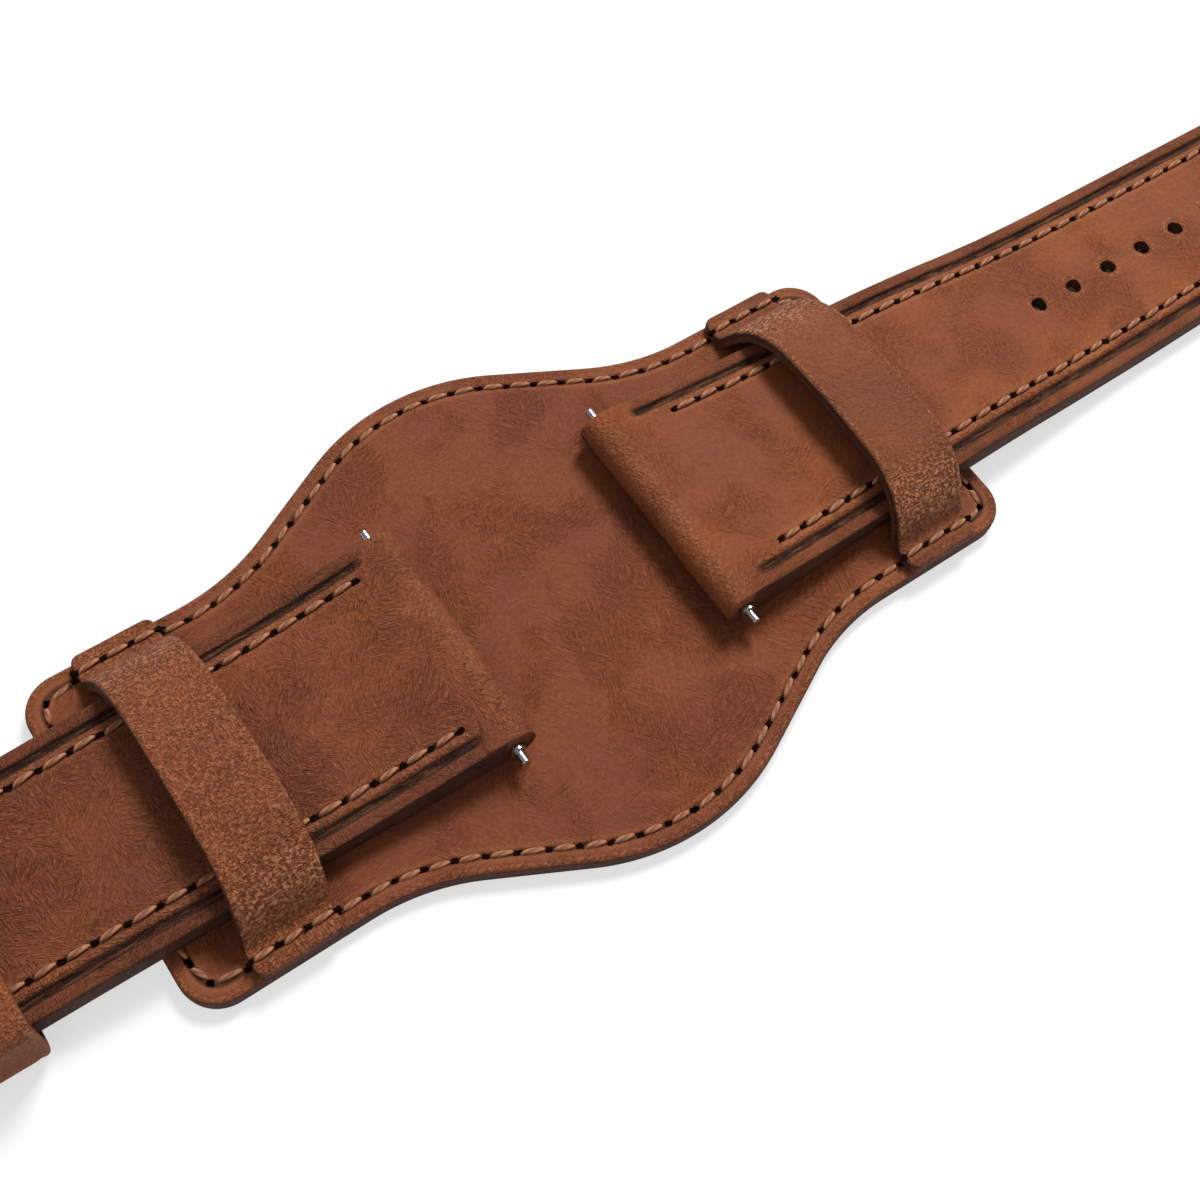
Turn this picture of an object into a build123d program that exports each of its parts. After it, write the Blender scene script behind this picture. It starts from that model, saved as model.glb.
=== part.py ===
from build123d import *
import os
from math import asin, atan2, cos, degrees, pi, radians, sin, sqrt

# A two-piece leather watch strap on a bund pad, in millimetres. The strap runs along X, its holes
# towards +X and its buckle towards -X. The origin is the centre of the pad's underside.

# %% Pad
pad_length = 87.6
pad_end_width = 33.6
pad_middle_width = 51.5
swell_length = 56.0
swell_radius_share = 0.9
pad_corner_radius = 3.6
pad_top_thickness = 1.1
pad_lining_thickness = 0.9
filler_thickness = 0.4
filler_inset = 3.6
edge_bevel = 0.3
pad_thickness = pad_top_thickness + pad_lining_thickness

# %% Thread
stitch_pitch = 2.75
stitch_thickness = 0.42
stitch_width = 0.55
stitch_seat = 0.24
pitch_parts = 5
seam_channel_width = 0.95
seam_channel_slack = 0.05
stitch_share = 0.76
pad_seam_inset = 1.6
corner_stitch_share = 0.65
strap_seam_inset = 3.1

# %% Bridges that hold the straps on the pad
bridge_width = 8.0
tip_bridge_x = 31.0
buckle_bridge_x = 30.2
bridge_lean = 1.2
bridge_leather = 0.7
bridge_lining = 0.45
bridge_flange = 2.1
bridge_foot_radius = 0.8
bridge_wall_angle = 60.0
bridge_wall_length = 1.2
bridge_shoulder_radius = 7.8
bridge_crown_angle = 3.0
bridge_thickness = bridge_leather + bridge_lining

# %% Straps
strap_gap = 0.2
lug_radius = 2.1
lug_flat = 3.2
lug_taper = 9.3
fold_length = 12.0
lining_thickness = 0.9
core_thickness = 0.8
core_inset = 4.2
core_start = 16.0
bend_run = 3.0
rail_width = 1.2
rail_drop = 0.3
groove_width = 0.8
groove_depth = 0.5
groove_start = 3.4
strap_thickness = 3.1
bar_clearance = 0.08

# %% Tip strap
tip_bar_x = 14.6
tip_seam_start = 6.4
tip_length = 108.0
tip_lug_width = 23.4
tip_middle_width = 20.3
tip_end_width = 18.4
tip_middle_share = 0.44
tip_round = 12.0
tip_thickness = 2.8
tip_droop_start = 32.5
tip_droop_end = 49.0
tip_floor = 0.3
hole_margin = 25.8
hole_pitch = 5.0
hole_count = 8
hole_radius = 0.85

# %% Buckle strap
buckle_bar_x = 10.4
buckle_seam_start = 3.6
buckle_length = 75.0
buckle_lug_width = 23.4
buckle_end_width = 19.8
buckle_droop_start = 36.6
buckle_droop_end = 48.0
buckle_floor = 1.7
buckle_loop_radius = 1.55
buckle_fold_length = 10.0
tang_slot_width = 3.2
tang_slot_length = 5.0

# %% Keepers
keeper_leather = 1.2
keeper_width = 6.5
keeper_side_gap = 0.7
keeper_corner_radius = 2.2
keeper_gap = 0.2
fixed_keeper_gap = 0.03
fixed_keeper_margin = 8.0
keeper_spacing = 10.1

# %% Spring bars
bar_tip_radius = 0.4
bar_tip_length = 1.2
bar_collar_radius = 0.8
bar_collar_thickness = 0.25
bar_neck_radius = 0.58
bar_neck_length = 0.3
bar_shank_radius = 0.58
bar_shank_gap = 0.05
bar_head_radius = 0.7
bar_head_length = 0.6
bar_head_gap = 0.05
bar_crimp_length = 0.4
bar_tube_radius = 0.9
bar_wall = 0.15
bar_travel = 1.1
lug_bar_span = 26.8
coil_radius = 0.68
coil_wire = 0.15

# %% Buckle
buckle_window_width = 20.6
buckle_side_width = 2.3
buckle_frame_length = 13.5
buckle_front_width = 2.6
buckle_front_thickness = 1.5
buckle_ear_radius = 1.3
buckle_corner_radius = 3.0
table_gap = 0.1
buckle_pin_hold = 1.0
buckle_pin_clearance = 0.06
tang_width = 2.2
tang_thickness = 0.75
tang_bevel = 0.4
tang_eye_clearance = 0.07
tang_overhang = 0.5

# %% Overrun of cutting shapes
over = 4.0

seam_radius = pad_corner_radius - pad_seam_inset
strap_floor = pad_thickness + strap_gap
bar_height = strap_floor + lug_radius
buckle_pin_height = buckle_floor + buckle_loop_radius

os.makedirs("parts", exist_ok=True)


def save(builder, name):
    """Labels one finished piece and writes it."""
    builder.part.label = name
    export_step(builder.part, f"parts/{name}.step")


def smooth(value, start, end):
    """Runs from 0 at start to 1 at end, level at both."""
    share = min(max((value - start) / (end - start), 0), 1)
    return share * share * (3 - 2 * share)


# %% Pad outline: parallel bands at both ends and a round swell under the watch, of arcs and straight runs
def swell_turn():
    """Radius of the swell's arcs, and the slope in degrees of the straight run between them."""
    rise = (pad_middle_width - pad_end_width) / 2
    run = swell_length / 2
    radius = swell_radius_share * (run * run + rise * rise) / (4 * rise)
    between = atan2(2 * radius - rise, run)
    return radius, degrees(asin(2 * radius / sqrt(run * run + (2 * radius - rise) ** 2)) - between)


def swell_edge(inset):
    """The swell's edge from its foot to its crest, moved in: two arc ends and an arc middle for each arc."""
    radius, slope = swell_turn()
    foot = (swell_length / 2, pad_end_width / 2 + radius)
    crest = (0, pad_middle_width / 2 - radius)

    def on_foot(angle):
        return foot[0] - (radius + inset) * sin(radians(angle)), foot[1] - (radius + inset) * cos(radians(angle))

    def on_crest(angle):
        return crest[0] + (radius - inset) * sin(radians(angle)), crest[1] + (radius - inset) * cos(radians(angle))

    return ([on_foot(0), on_foot(slope / 2), on_foot(slope)], [on_crest(slope), on_crest(slope / 2), on_crest(0)])


def pad_outline(inset):
    """The pad's outline in plan, moved in by inset."""
    end = pad_length / 2 - inset
    side = pad_end_width / 2 - inset
    radius = max(pad_corner_radius - inset, pad_corner_radius / 4)
    with BuildSketch() as plan:
        with BuildLine():
            for x_way in (-1, 1):
                for y_way in (-1, 1):
                    foot, crest = [[(x_way * x, y_way * y) for x, y in arc] for arc in swell_edge(inset)]
                    Line((x_way * end, y_way * side), foot[0])
                    ThreePointArc(*foot)
                    Line(foot[-1], crest[0])
                    ThreePointArc(*crest)
                Line((x_way * end, side), (x_way * end, -side))
        make_face()
        corners = plan.vertices().group_by(Axis.X)
        fillet(corners[0] + corners[-1], radius)
    return plan.sketch


def stitch_place(point, along, up):
    """Where one stitch sits: its own X along the seam and its own Z out of the leather."""
    return Plane(origin=point, x_dir=along, z_dir=up).location


def spaced(points, pitch):
    """Evenly spaced places along a path of close points: each a point and a direction."""
    lengths = [0]
    for a, b in zip(points, points[1:]):
        lengths.append(lengths[-1] + sqrt(sum((q - p) ** 2 for p, q in zip(a, b))))
    count = round(lengths[-1] / pitch)
    places = []
    index = 0
    for number in range(count):
        target = (number + 1 / 2) * lengths[-1] / count
        while lengths[index + 1] < target:
            index += 1
        share = (target - lengths[index]) / (lengths[index + 1] - lengths[index])
        a, b = points[index], points[index + 1]
        places.append((tuple(p + (q - p) * share for p, q in zip(a, b)), tuple(q - p for p, q in zip(a, b))))
    return places


def pad_edge_run(x):
    """The height across of the pad's seam at a place along the pad."""
    foot, crest = swell_edge(pad_seam_inset)
    radius, _ = swell_turn()
    if abs(x) >= foot[0][0]:
        return foot[0][1]
    if abs(x) > foot[-1][0]:
        return pad_end_width / 2 + radius - sqrt((radius + pad_seam_inset) ** 2 - (swell_length / 2 - abs(x)) ** 2)
    if abs(x) > crest[0][0]:
        share = (foot[-1][0] - abs(x)) / (foot[-1][0] - crest[0][0])
        return foot[-1][1] + share * (crest[0][1] - foot[-1][1])
    return pad_middle_width / 2 - radius + sqrt((radius - pad_seam_inset) ** 2 - x * x)


def pad_stitches(low, high, side):
    """Evenly spaced stitches between two places along one long side; a short rest of the side has none."""
    if high - low < stitch_pitch:
        return []
    count = round((high - low) / (stitch_pitch / pitch_parts))
    xs = [low + (high - low) * number / count for number in range(count + 1)]
    return spaced([(x, side * pad_edge_run(x)) for x in xs], stitch_pitch)


def end_stitches(way):
    """Stitches down one end of the pad, with one across each corner."""
    end = pad_length / 2 - pad_seam_inset
    side = pad_end_width / 2 - pad_seam_inset - seam_radius
    count = round(2 * side / stitch_pitch)
    places = []
    for number in range(count):
        y = -side + (2 * number + 1) * side / count
        places.append(((way * end, y), (0, 1)))
    reach = seam_radius * corner_stitch_share
    for y_way in (-1, 1):
        places.append(((way * (end - seam_radius + reach), y_way * (side + reach)), (way, -y_way)))
    return places


def stitches(places):
    """A row of sewn stitches, each a small flat bar of thread."""
    with BuildPart() as row:
        with Locations(*places):
            Box(stitch_pitch * stitch_share, stitch_width, stitch_thickness)
    return row.part


def pad_channel(bottom, depth):
    """The shallow channel that the pad's seam has pressed into a face."""
    with BuildPart() as channel:
        with BuildSketch(Plane.XY.offset(bottom)):
            add(pad_outline(pad_seam_inset - seam_channel_width / 2))
            add(pad_outline(pad_seam_inset + seam_channel_width / 2), mode=Mode.SUBTRACT)
        extrude(amount=depth)
    return channel.part


# Long-side stitches stop at the bridges' flanges, where they climb onto the flange's leather.
side_limit = pad_length / 2 - pad_seam_inset - seam_radius
tip_flange = (tip_bridge_x, tip_bridge_x + bridge_width)
buckle_flange = (-buckle_bridge_x - bridge_width, -buckle_bridge_x)
pad_level = [(-side_limit, buckle_flange[0]), (buckle_flange[1], 0), (0, tip_flange[0]), (tip_flange[1], side_limit)]
top_seat = pad_thickness - stitch_seat + stitch_thickness / 2
flange_seat = top_seat + bridge_thickness
top_channel_depth = stitch_seat + seam_channel_slack
under_channel_depth = stitch_thickness + stitch_seat / 4 + seam_channel_slack
under_seat = stitch_seat / 4 + stitch_thickness / 2

flat_places = [place for way in (-1, 1) for place in end_stitches(way)]
flange_places = []
for side in (-1, 1):
    for low, high in pad_level:
        flat_places += pad_stitches(low, high, side)
    for low, high in (tip_flange, buckle_flange):
        flange_places += pad_stitches(low, high, side)


def seats_at(places, height):
    """Stitch places at one height on the flat pad."""
    return [stitch_place((*point, height), (*along, 0), (0, 0, 1)) for point, along in places]


pad_top_seats = seats_at(flat_places, top_seat)
flange_seats = seats_at(flange_places, flange_seat)
pad_under_seats = seats_at(flat_places + flange_places, under_seat)

with BuildPart() as pad_filler:
    with BuildSketch(Plane.XY.offset(pad_lining_thickness)):
        add(pad_outline(filler_inset))
    extrude(amount=filler_thickness)
save(pad_filler, "pad_filler")

with BuildPart() as pad_top:
    with BuildSketch(Plane.XY.offset(pad_lining_thickness)):
        add(pad_outline(0))
    extrude(amount=pad_top_thickness)
    chamfer(pad_top.faces().sort_by(Axis.Z)[-1].edges(), edge_bevel)
    add(pad_filler.part, mode=Mode.SUBTRACT)
    add(pad_channel(pad_thickness - top_channel_depth, pad_thickness), mode=Mode.SUBTRACT)
save(pad_top, "pad_top")

with BuildPart() as pad_lining:
    with BuildSketch():
        add(pad_outline(0))
    extrude(amount=pad_lining_thickness)
    chamfer(pad_lining.faces().sort_by(Axis.Z)[0].edges(), edge_bevel)
    add(pad_channel(-over, over + under_channel_depth), mode=Mode.SUBTRACT)
save(pad_lining, "pad_lining")

with BuildPart() as pad_stitching:
    add(stitches(pad_top_seats + flange_seats + pad_under_seats))
save(pad_stitching, "pad_stitching")


# %% Bridges: flat flanges under the pad's seam, a sloping wall, and a broad crown over the strap
def bridge_curve(depth):
    """Half of the bridge's section, depth out from its inner face, as corner points and arc middles."""
    wall = radians(bridge_wall_angle)
    crown = radians(bridge_crown_angle)
    foot = pad_end_width / 2 - bridge_flange
    foot_radius = bridge_foot_radius + bridge_thickness - depth
    foot_centre = (foot, pad_thickness + bridge_thickness + bridge_foot_radius)

    def on_foot(angle):
        return foot_centre[0] - foot_radius * sin(angle), foot_centre[1] - foot_radius * cos(angle)

    wall_low = on_foot(wall)
    wall_high = (wall_low[0] - bridge_wall_length * cos(wall), wall_low[1] + bridge_wall_length * sin(wall))
    shoulder_radius = bridge_shoulder_radius + depth
    shoulder = (wall_high[0] - shoulder_radius * sin(wall), wall_high[1] - shoulder_radius * cos(wall))

    def on_shoulder(angle):
        return shoulder[0] + shoulder_radius * sin(angle), shoulder[1] + shoulder_radius * cos(angle)

    edge = on_shoulder(crown)
    crown_radius = edge[0] / sin(crown)
    top = edge[1] + crown_radius * (1 - cos(crown))
    return {
        "outside": (pad_end_width / 2, pad_thickness + depth), "foot": on_foot(0), "foot_middle": on_foot(wall / 2),
        "wall_low": wall_low, "wall_high": wall_high, "shoulder_middle": on_shoulder((wall + crown) / 2),
        "edge": edge, "top": (0, top)}


def bridge_half(points, side):
    """Draws one half of a section curve."""
    place = {name: (side * y, z) for name, (y, z) in points.items()}
    Line(place["outside"], place["foot"])
    ThreePointArc(place["foot"], place["foot_middle"], place["wall_low"])
    Line(place["wall_low"], place["wall_high"])
    ThreePointArc(place["wall_high"], place["shoulder_middle"], place["edge"])
    return place


def bridge(x, low, high):
    """One ply of a bridge, between two depths, leaning towards the holes' end at its crown."""
    inner, outer = bridge_curve(low), bridge_curve(high)
    with BuildPart() as ply:
        with BuildSketch(Plane.YZ.offset(x - over)):
            with BuildLine():
                for points in (inner, outer):
                    ends = [bridge_half(points, side) for side in (-1, 1)]
                    ThreePointArc(ends[0]["edge"], ends[0]["top"], ends[1]["edge"])
                for side in (-1, 1):
                    Line((side * inner["outside"][0], inner["outside"][1]),
                         (side * outer["outside"][0], outer["outside"][1]))
            make_face()
        extrude(amount=bridge_width + bridge_lean + 2 * over)
        with BuildSketch(Plane.XZ):
            knee = pad_thickness + bridge_thickness
            crest = outer["top"][1] + over
            rise = outer["top"][1] - knee
            lean = bridge_lean * (crest - knee) / rise
            with BuildLine():
                Polyline((x, 0), (x, knee), (x + lean, crest), (x + lean + bridge_width, crest),
                         (x + bridge_width, knee), (x + bridge_width, 0), close=True)
            make_face()
        extrude(amount=pad_middle_width, both=True, mode=Mode.INTERSECT)
    return ply


for name, x in (("tip_bridge", tip_bridge_x), ("buckle_bridge", -buckle_bridge_x - bridge_width)):
    inner_ply = bridge(x, 0, bridge_lining)
    save(inner_ply, f"{name}_lining")
    outer_ply = bridge(x, bridge_lining, bridge_thickness)
    with outer_ply:
        seam_y = pad_end_width / 2 - pad_seam_inset
        with Locations([(x, side * seam_y, pad_thickness + bridge_thickness) for side in (-1, 1)]):
            Box(bridge_width, seam_channel_width, 2 * top_channel_depth, align=(Align.MIN, Align.CENTER, Align.CENTER),
                mode=Mode.SUBTRACT)
    save(outer_ply, f"{name}_top")


# %% Straps: how each one lies and how wide it is, by distance from its lug bar
def level(corners, distance):
    """Height of a line through corner points, whose bends are eased over bend_run to each side."""
    (start, height), (end, far) = corners[:2]
    slope = (far - height) / (end - start)
    height += slope * (distance - start)
    for (start, low), (end, high) in zip(corners[1:], corners[2:]):
        change = (high - low) / (end - start) - slope
        slope += change
        past = distance - start
        if abs(past) < bend_run:
            height += change * (past + bend_run) ** 2 / (4 * bend_run)
        elif past > 0:
            height += change * past
    return height


class Strap:
    """One half of the watch strap. Its underside and its top are lines through corner points."""

    def __init__(self, way, bar_x, length, widths, droop, floor, end_thickness):
        self.way = way
        self.bar_x = bar_x
        self.length = length
        self.widths = widths
        self.floor = floor
        self.under = [(0, strap_floor), (droop[0], strap_floor), (droop[1], floor), (length, floor)]
        self.upper = [
            (0, strap_floor + 2 * lug_radius), (lug_flat, strap_floor + 2 * lug_radius),
            (lug_flat + lug_taper, strap_floor + strap_thickness), (droop[0], strap_floor + strap_thickness),
            (droop[1], floor + end_thickness), (length, floor + end_thickness)]

    def x(self, distance):
        return self.way * (self.bar_x + distance)

    def bottom(self, distance):
        return level(self.under, distance)

    def top(self, distance):
        return level(self.upper, distance)

    def half(self, distance):
        """Half the width: straight tapers between the named widths, and even past both ends."""
        for (start, wide), (end, narrow) in zip(self.widths, self.widths[1:]):
            if distance <= end:
                return (wide + (narrow - wide) * max(distance - start, 0) / (end - start)) / 2
        return self.widths[-1][1] / 2

    def draw(self, corners, lift, start, end):
        """Draws one of the strap's lines, lifted, as straight runs and arcs."""
        def point(distance):
            return self.x(distance), level(corners, distance) + lift

        last = start
        for bend, _ in corners[1:-1]:
            if start < bend < end:
                Line(point(last), point(bend - bend_run))
                ThreePointArc(point(bend - bend_run), point(bend), point(bend + bend_run))
                last = bend + bend_run
        return Line(point(last), point(end)), point(start), point(end)


tip_strap = Strap(
    1, tip_bar_x, tip_length,
    [(0, tip_lug_width), (tip_length * tip_middle_share, tip_middle_width), (tip_length - tip_round, tip_end_width)],
    (tip_droop_start, tip_droop_end), tip_floor, tip_thickness)
buckle_strap = Strap(
    -1, buckle_bar_x, buckle_length, [(0, buckle_lug_width), (buckle_length, buckle_end_width)],
    (buckle_droop_start, buckle_droop_end), buckle_floor, 2 * buckle_loop_radius)


def band(strap, lower, upper):
    """A slab right across a strap, between two of its lines, each given as its corners and a lift."""
    start, end = 0, strap.length + over
    with BuildPart() as slab:
        with BuildSketch(Plane.XZ):
            with BuildLine():
                _, low_start, low_end = strap.draw(*lower, start, end)
                _, high_start, high_end = strap.draw(*upper, start, end)
                Line(low_start, high_start)
                Line(low_end, high_end)
            make_face()
        extrude(amount=tip_lug_width, both=True)
    return slab.part


def strap_plan(strap, inset, start, end):
    """A strap's outline in plan between two distances; past its straight sides it ends in the rounded tip."""
    sides = [start] + [d for d, _ in strap.widths if start < d < end] + [end]
    rounded = strap.widths[-1][0] < strap.length and end > strap.widths[-1][0]
    if rounded:
        sides[-1] = strap.widths[-1][0]
        sides = sorted(set(sides))
    far = [(strap.x(d), strap.half(d) - inset) for d in sides]
    near = [(x, -y) for x, y in far]
    with BuildSketch() as plan:
        with BuildLine():
            Polyline(far)
            Polyline(near)
            Line(far[0], near[0])
            if rounded:
                EllipticalCenterArc((far[-1][0], 0), strap.length - sides[-1] - inset, far[-1][1],
                                    start_angle=-90, arc_size=180)
            else:
                Line(far[-1], near[-1])
        make_face()
    return plan.sketch


def column(sketches, minus=()):
    """A plan shape run up through the whole height of the straps."""
    with BuildPart() as block:
        with BuildSketch(Plane.XY.offset(-over)):
            for sketch in sketches:
                add(sketch)
            for sketch in minus:
                add(sketch, mode=Mode.SUBTRACT)
        extrude(amount=strap_floor + 2 * lug_radius + 2 * over)
    return block.part


def layer(strap, lower, upper, plan):
    """One layer of a strap: a slab cut to a plan shape."""
    with BuildPart() as piece:
        add(band(strap, lower, upper))
        add(column([plan]), mode=Mode.INTERSECT)
    return piece


def shaving(strap, lower, upper, insets, ends):
    """What is cut from a face: a slab between two insets from the edge, from one distance to another."""
    with BuildPart() as cut:
        add(band(strap, lower, upper))
        add(column([strap_plan(strap, insets[0], *ends)], [strap_plan(strap, insets[1], *ends)]),
            mode=Mode.INTERSECT)
    return cut.part


def top_shaving(strap, depth, insets, ends):
    """A shaving from the top face."""
    return shaving(strap, (strap.upper, -depth), (strap.upper, over), insets, ends)


def strap_seam(strap, start, end):
    """The plan paths, in distance and offset, that a strap's sewing follows."""
    fine = stitch_pitch / pitch_parts

    def row(until):
        count = round((until - start) / fine)
        return [(start + (until - start) * n / count, strap.half(start + (until - start) * n / count)
                 - strap_seam_inset) for n in range(count + 1)]

    if end <= strap.widths[-1][0]:
        far = row(end)
        return [far, [(d, -y) for d, y in far]]
    far = row(strap.widths[-1][0])
    deep, wide = strap.length - far[-1][0] - strap_seam_inset, far[-1][1]
    count = round(pi * deep / fine)
    turn = [(far[-1][0] + deep * sin(pi * n / count), wide * cos(pi * n / count)) for n in range(1, count)]
    return [far + turn + [(d, -y) for d, y in far[::-1]]]


def strap_seats(strap, paths, surface, lift):
    """Places for stitches on one face of a strap, tilted with the leather."""
    places = []
    for path in paths:
        for (d, y), (along, across) in spaced(path, stitch_pitch):
            rise = (surface(d + stitch_pitch / 4) - surface(d - stitch_pitch / 4)) / (stitch_pitch / 2)
            normal = Vector(-strap.way * rise, 0, 1)
            forward = Vector(strap.way * along, across, rise * along)
            places.append(stitch_place(Vector(strap.x(d), y, surface(d)) + normal.normalized() * lift, forward, normal))
    return places


def strap_body(strap, plan):
    """The top leather: folded round the lug bar, and on the buckle's half round the buckle's pin too."""
    tip = strap is tip_strap
    far = strap.length + over if tip else strap.length
    tail = far if tip else strap.length - buckle_fold_length
    with BuildPart() as piece:
        with BuildSketch(Plane.XZ):
            with BuildLine():
                strap.draw(strap.upper, 0, 0, far)
                ThreePointArc((strap.x(0), strap_floor + 2 * lug_radius),
                              (strap.x(-lug_radius), strap_floor + lug_radius), (strap.x(0), strap_floor))
                Line((strap.x(0), strap_floor), (strap.x(fold_length), strap_floor))
                Line((strap.x(fold_length), strap_floor), (strap.x(fold_length), strap_floor + lining_thickness))
                strap.draw(strap.under, lining_thickness, fold_length, tail)
                if tip:
                    Line((strap.x(far), strap.bottom(far) + lining_thickness), (strap.x(far), strap.top(far)))
                else:
                    low = strap.floor
                    Line((strap.x(tail), low + lining_thickness), (strap.x(tail), low))
                    Line((strap.x(tail), low), (strap.x(far), low))
                    ThreePointArc((strap.x(far), low), (strap.x(far + buckle_loop_radius), low + buckle_loop_radius),
                                  (strap.x(far), low + 2 * buckle_loop_radius))
            make_face()
        extrude(amount=tip_lug_width, both=True)
        add(column([plan]), mode=Mode.INTERSECT)
    return piece


def bar_bore(x, height):
    """The hole that a spring bar turns in."""
    with BuildPart() as bore:
        with BuildSketch(Plane.XZ):
            with Locations((x, height)):
                Circle(bar_tube_radius + bar_clearance)
        extrude(amount=tip_lug_width, both=True)
    return bore.part


def punch():
    """The adjustment holes, as pins to cut with, counted back from the tip."""
    last = tip_length - hole_margin
    with BuildPart() as pins:
        with Locations([(tip_strap.x(last - number * hole_pitch), 0) for number in range(hole_count)]):
            Cylinder(hole_radius, strap_floor + 2 * over)
    return pins.part


def tang_slot():
    """The slot in the loop that the tang stands in."""
    with BuildPart() as slot:
        with Locations(((buckle_strap.x(buckle_length - tang_slot_length)), 0)):
            Box(tang_slot_length + buckle_loop_radius + over, tang_slot_width, strap_floor + 4 * over,
                align=(Align.MAX, Align.CENTER, Align.CENTER))
    return slot.part


strap_cases = (
    ("tip_strap", tip_strap, tip_seam_start, tip_length, tip_length, tip_length - tip_round),
    ("buckle_strap", buckle_strap, buckle_seam_start, buckle_length - buckle_fold_length,
     buckle_length - buckle_fold_length, buckle_length - buckle_fold_length))

for name, strap, seam_from, seam_to, lining_end, core_end in strap_cases:
    paths = strap_seam(strap, seam_from, seam_to)
    over_seats = strap_seats(strap, paths, strap.top, stitch_thickness / 2 - stitch_seat)
    under_seats = strap_seats(strap, paths, strap.bottom, under_seat)
    seam_line = (strap_seam_inset - seam_channel_width / 2, strap_seam_inset + seam_channel_width / 2)
    grooved = (groove_start, lining_end)
    sewn = (seam_from, seam_to)
    under_channel = shaving(strap, (strap.under, -over), (strap.under, under_channel_depth), seam_line, sewn)
    core = layer(strap, (strap.under, lining_thickness), (strap.under, lining_thickness + core_thickness),
                 strap_plan(strap, core_inset, core_start, core_end))
    lining = layer(strap, (strap.under, 0), (strap.under, lining_thickness),
                   strap_plan(strap, 0, fold_length, lining_end))
    body_end = strap.length + (0 if strap is tip_strap else over)
    top = strap_body(strap, strap_plan(strap, 0, -over, body_end))
    with top:
        add(top_shaving(strap, rail_drop, (-over, rail_width), grooved), mode=Mode.SUBTRACT)
        add(top_shaving(strap, groove_depth, (rail_width, rail_width + groove_width), grooved), mode=Mode.SUBTRACT)
        add(top_shaving(strap, top_channel_depth, seam_line, sewn), mode=Mode.SUBTRACT)
        add(under_channel, mode=Mode.SUBTRACT)
        add(core.part, mode=Mode.SUBTRACT)
        add(bar_bore(strap.x(0), bar_height), mode=Mode.SUBTRACT)
    with lining:
        add(under_channel, mode=Mode.SUBTRACT)
    if strap is tip_strap:
        for piece in (top, core, lining):
            with piece:
                add(punch(), mode=Mode.SUBTRACT)
    else:
        with top:
            add(bar_bore(strap.x(strap.length), buckle_pin_height), mode=Mode.SUBTRACT)
            add(tang_slot(), mode=Mode.SUBTRACT)
    save(top, f"{name}_top")
    save(core, f"{name}_core")
    save(lining, f"{name}_lining")
    with BuildPart() as seam:
        add(stitches(over_seats + under_seats))
    save(seam, f"{name}_stitching")


# %% Keepers: leather loops round the buckle strap
def keeper(name, start, gap):
    """One loop, as wide inside as the strap and as high as both straps together."""
    half = buckle_strap.half(start) + keeper_side_gap
    low = buckle_floor - gap
    high = buckle_floor + strap_thickness + tip_thickness + 2 * keeper_gap
    middle = (low + high) / 2
    with BuildPart() as loop:
        with BuildSketch(Plane.YZ.offset(buckle_strap.x(start))):
            with Locations((0, middle)):
                RectangleRounded(2 * (half + keeper_leather), high - low + 2 * keeper_leather, keeper_corner_radius)
                RectangleRounded(2 * half, high - low, keeper_side_gap, mode=Mode.SUBTRACT)
        extrude(amount=-keeper_width)
    save(loop, name)


fixed_keeper_start = buckle_length - fixed_keeper_margin - keeper_width
keeper("free_keeper", fixed_keeper_start - keeper_spacing - keeper_width, keeper_gap)
keeper("fixed_keeper", fixed_keeper_start, fixed_keeper_gap)


# %% Spring bars: a tube with a crimped mouth at each end, two sprung tips and the coil between them
def turned(x, height, profile):
    """A turned piece about the bar's line, from corner points of radius and place along it."""
    with BuildPart() as piece:
        with BuildSketch(Plane(origin=(x, 0, height), x_dir=(1, 0, 0), z_dir=(0, 0, 1))):
            with BuildLine():
                Polyline(profile, close=True)
            make_face()
        revolve(axis=Axis((x, 0, height), (0, 1, 0)))
    return piece


def spring_bar(name, x, height, span):
    """A double-flange spring bar from tip to tip of span."""
    end = span / 2
    collar = end - bar_tip_length
    neck = collar - bar_collar_thickness
    inner_collar = neck - bar_neck_length
    shank = inner_collar - bar_collar_thickness
    mouth = shank - bar_travel
    crimp = mouth - bar_crimp_length
    head = crimp - bar_head_gap
    shank_end = head - bar_head_length
    bevel = bar_tip_radius / 4
    for side, side_name in ((1, "far"), (-1, "near")):
        profile = [(0, shank_end), (bar_head_radius, shank_end), (bar_head_radius, head), (bar_shank_radius, head),
                   (bar_shank_radius, shank), (bar_collar_radius, shank), (bar_collar_radius, inner_collar),
                   (bar_neck_radius, inner_collar), (bar_neck_radius, neck), (bar_collar_radius, neck),
                   (bar_collar_radius, collar), (bar_tip_radius, collar), (bar_tip_radius, end - bevel),
                   (bar_tip_radius - bevel, end), (0, end)]
        save(turned(x, height, [(r, side * y) for r, y in profile]), f"{name}_{side_name}_tip")
    bore = bar_tube_radius - bar_wall
    mouth_bore = bar_shank_radius + bar_shank_gap
    tube = [(bore, crimp), (mouth_bore, crimp), (mouth_bore, mouth), (bar_tube_radius, mouth)]
    save(turned(x, height, tube + [(r, -y) for r, y in tube[::-1]]), f"{name}_tube")
    coil_end = shank_end - bar_travel - bar_head_gap
    coil = [(coil_radius - coil_wire, coil_end), (coil_radius, coil_end)]
    save(turned(x, height, coil + [(r, -y) for r, y in coil[::-1]]), f"{name}_coil")


spring_bar("tip_bar", tip_strap.x(0), bar_height, lug_bar_span)
spring_bar("buckle_side_bar", buckle_strap.x(0), bar_height, lug_bar_span)
spring_bar("buckle_pin", buckle_strap.x(buckle_length), buckle_pin_height,
           buckle_window_width + 2 * buckle_pin_hold)

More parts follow.
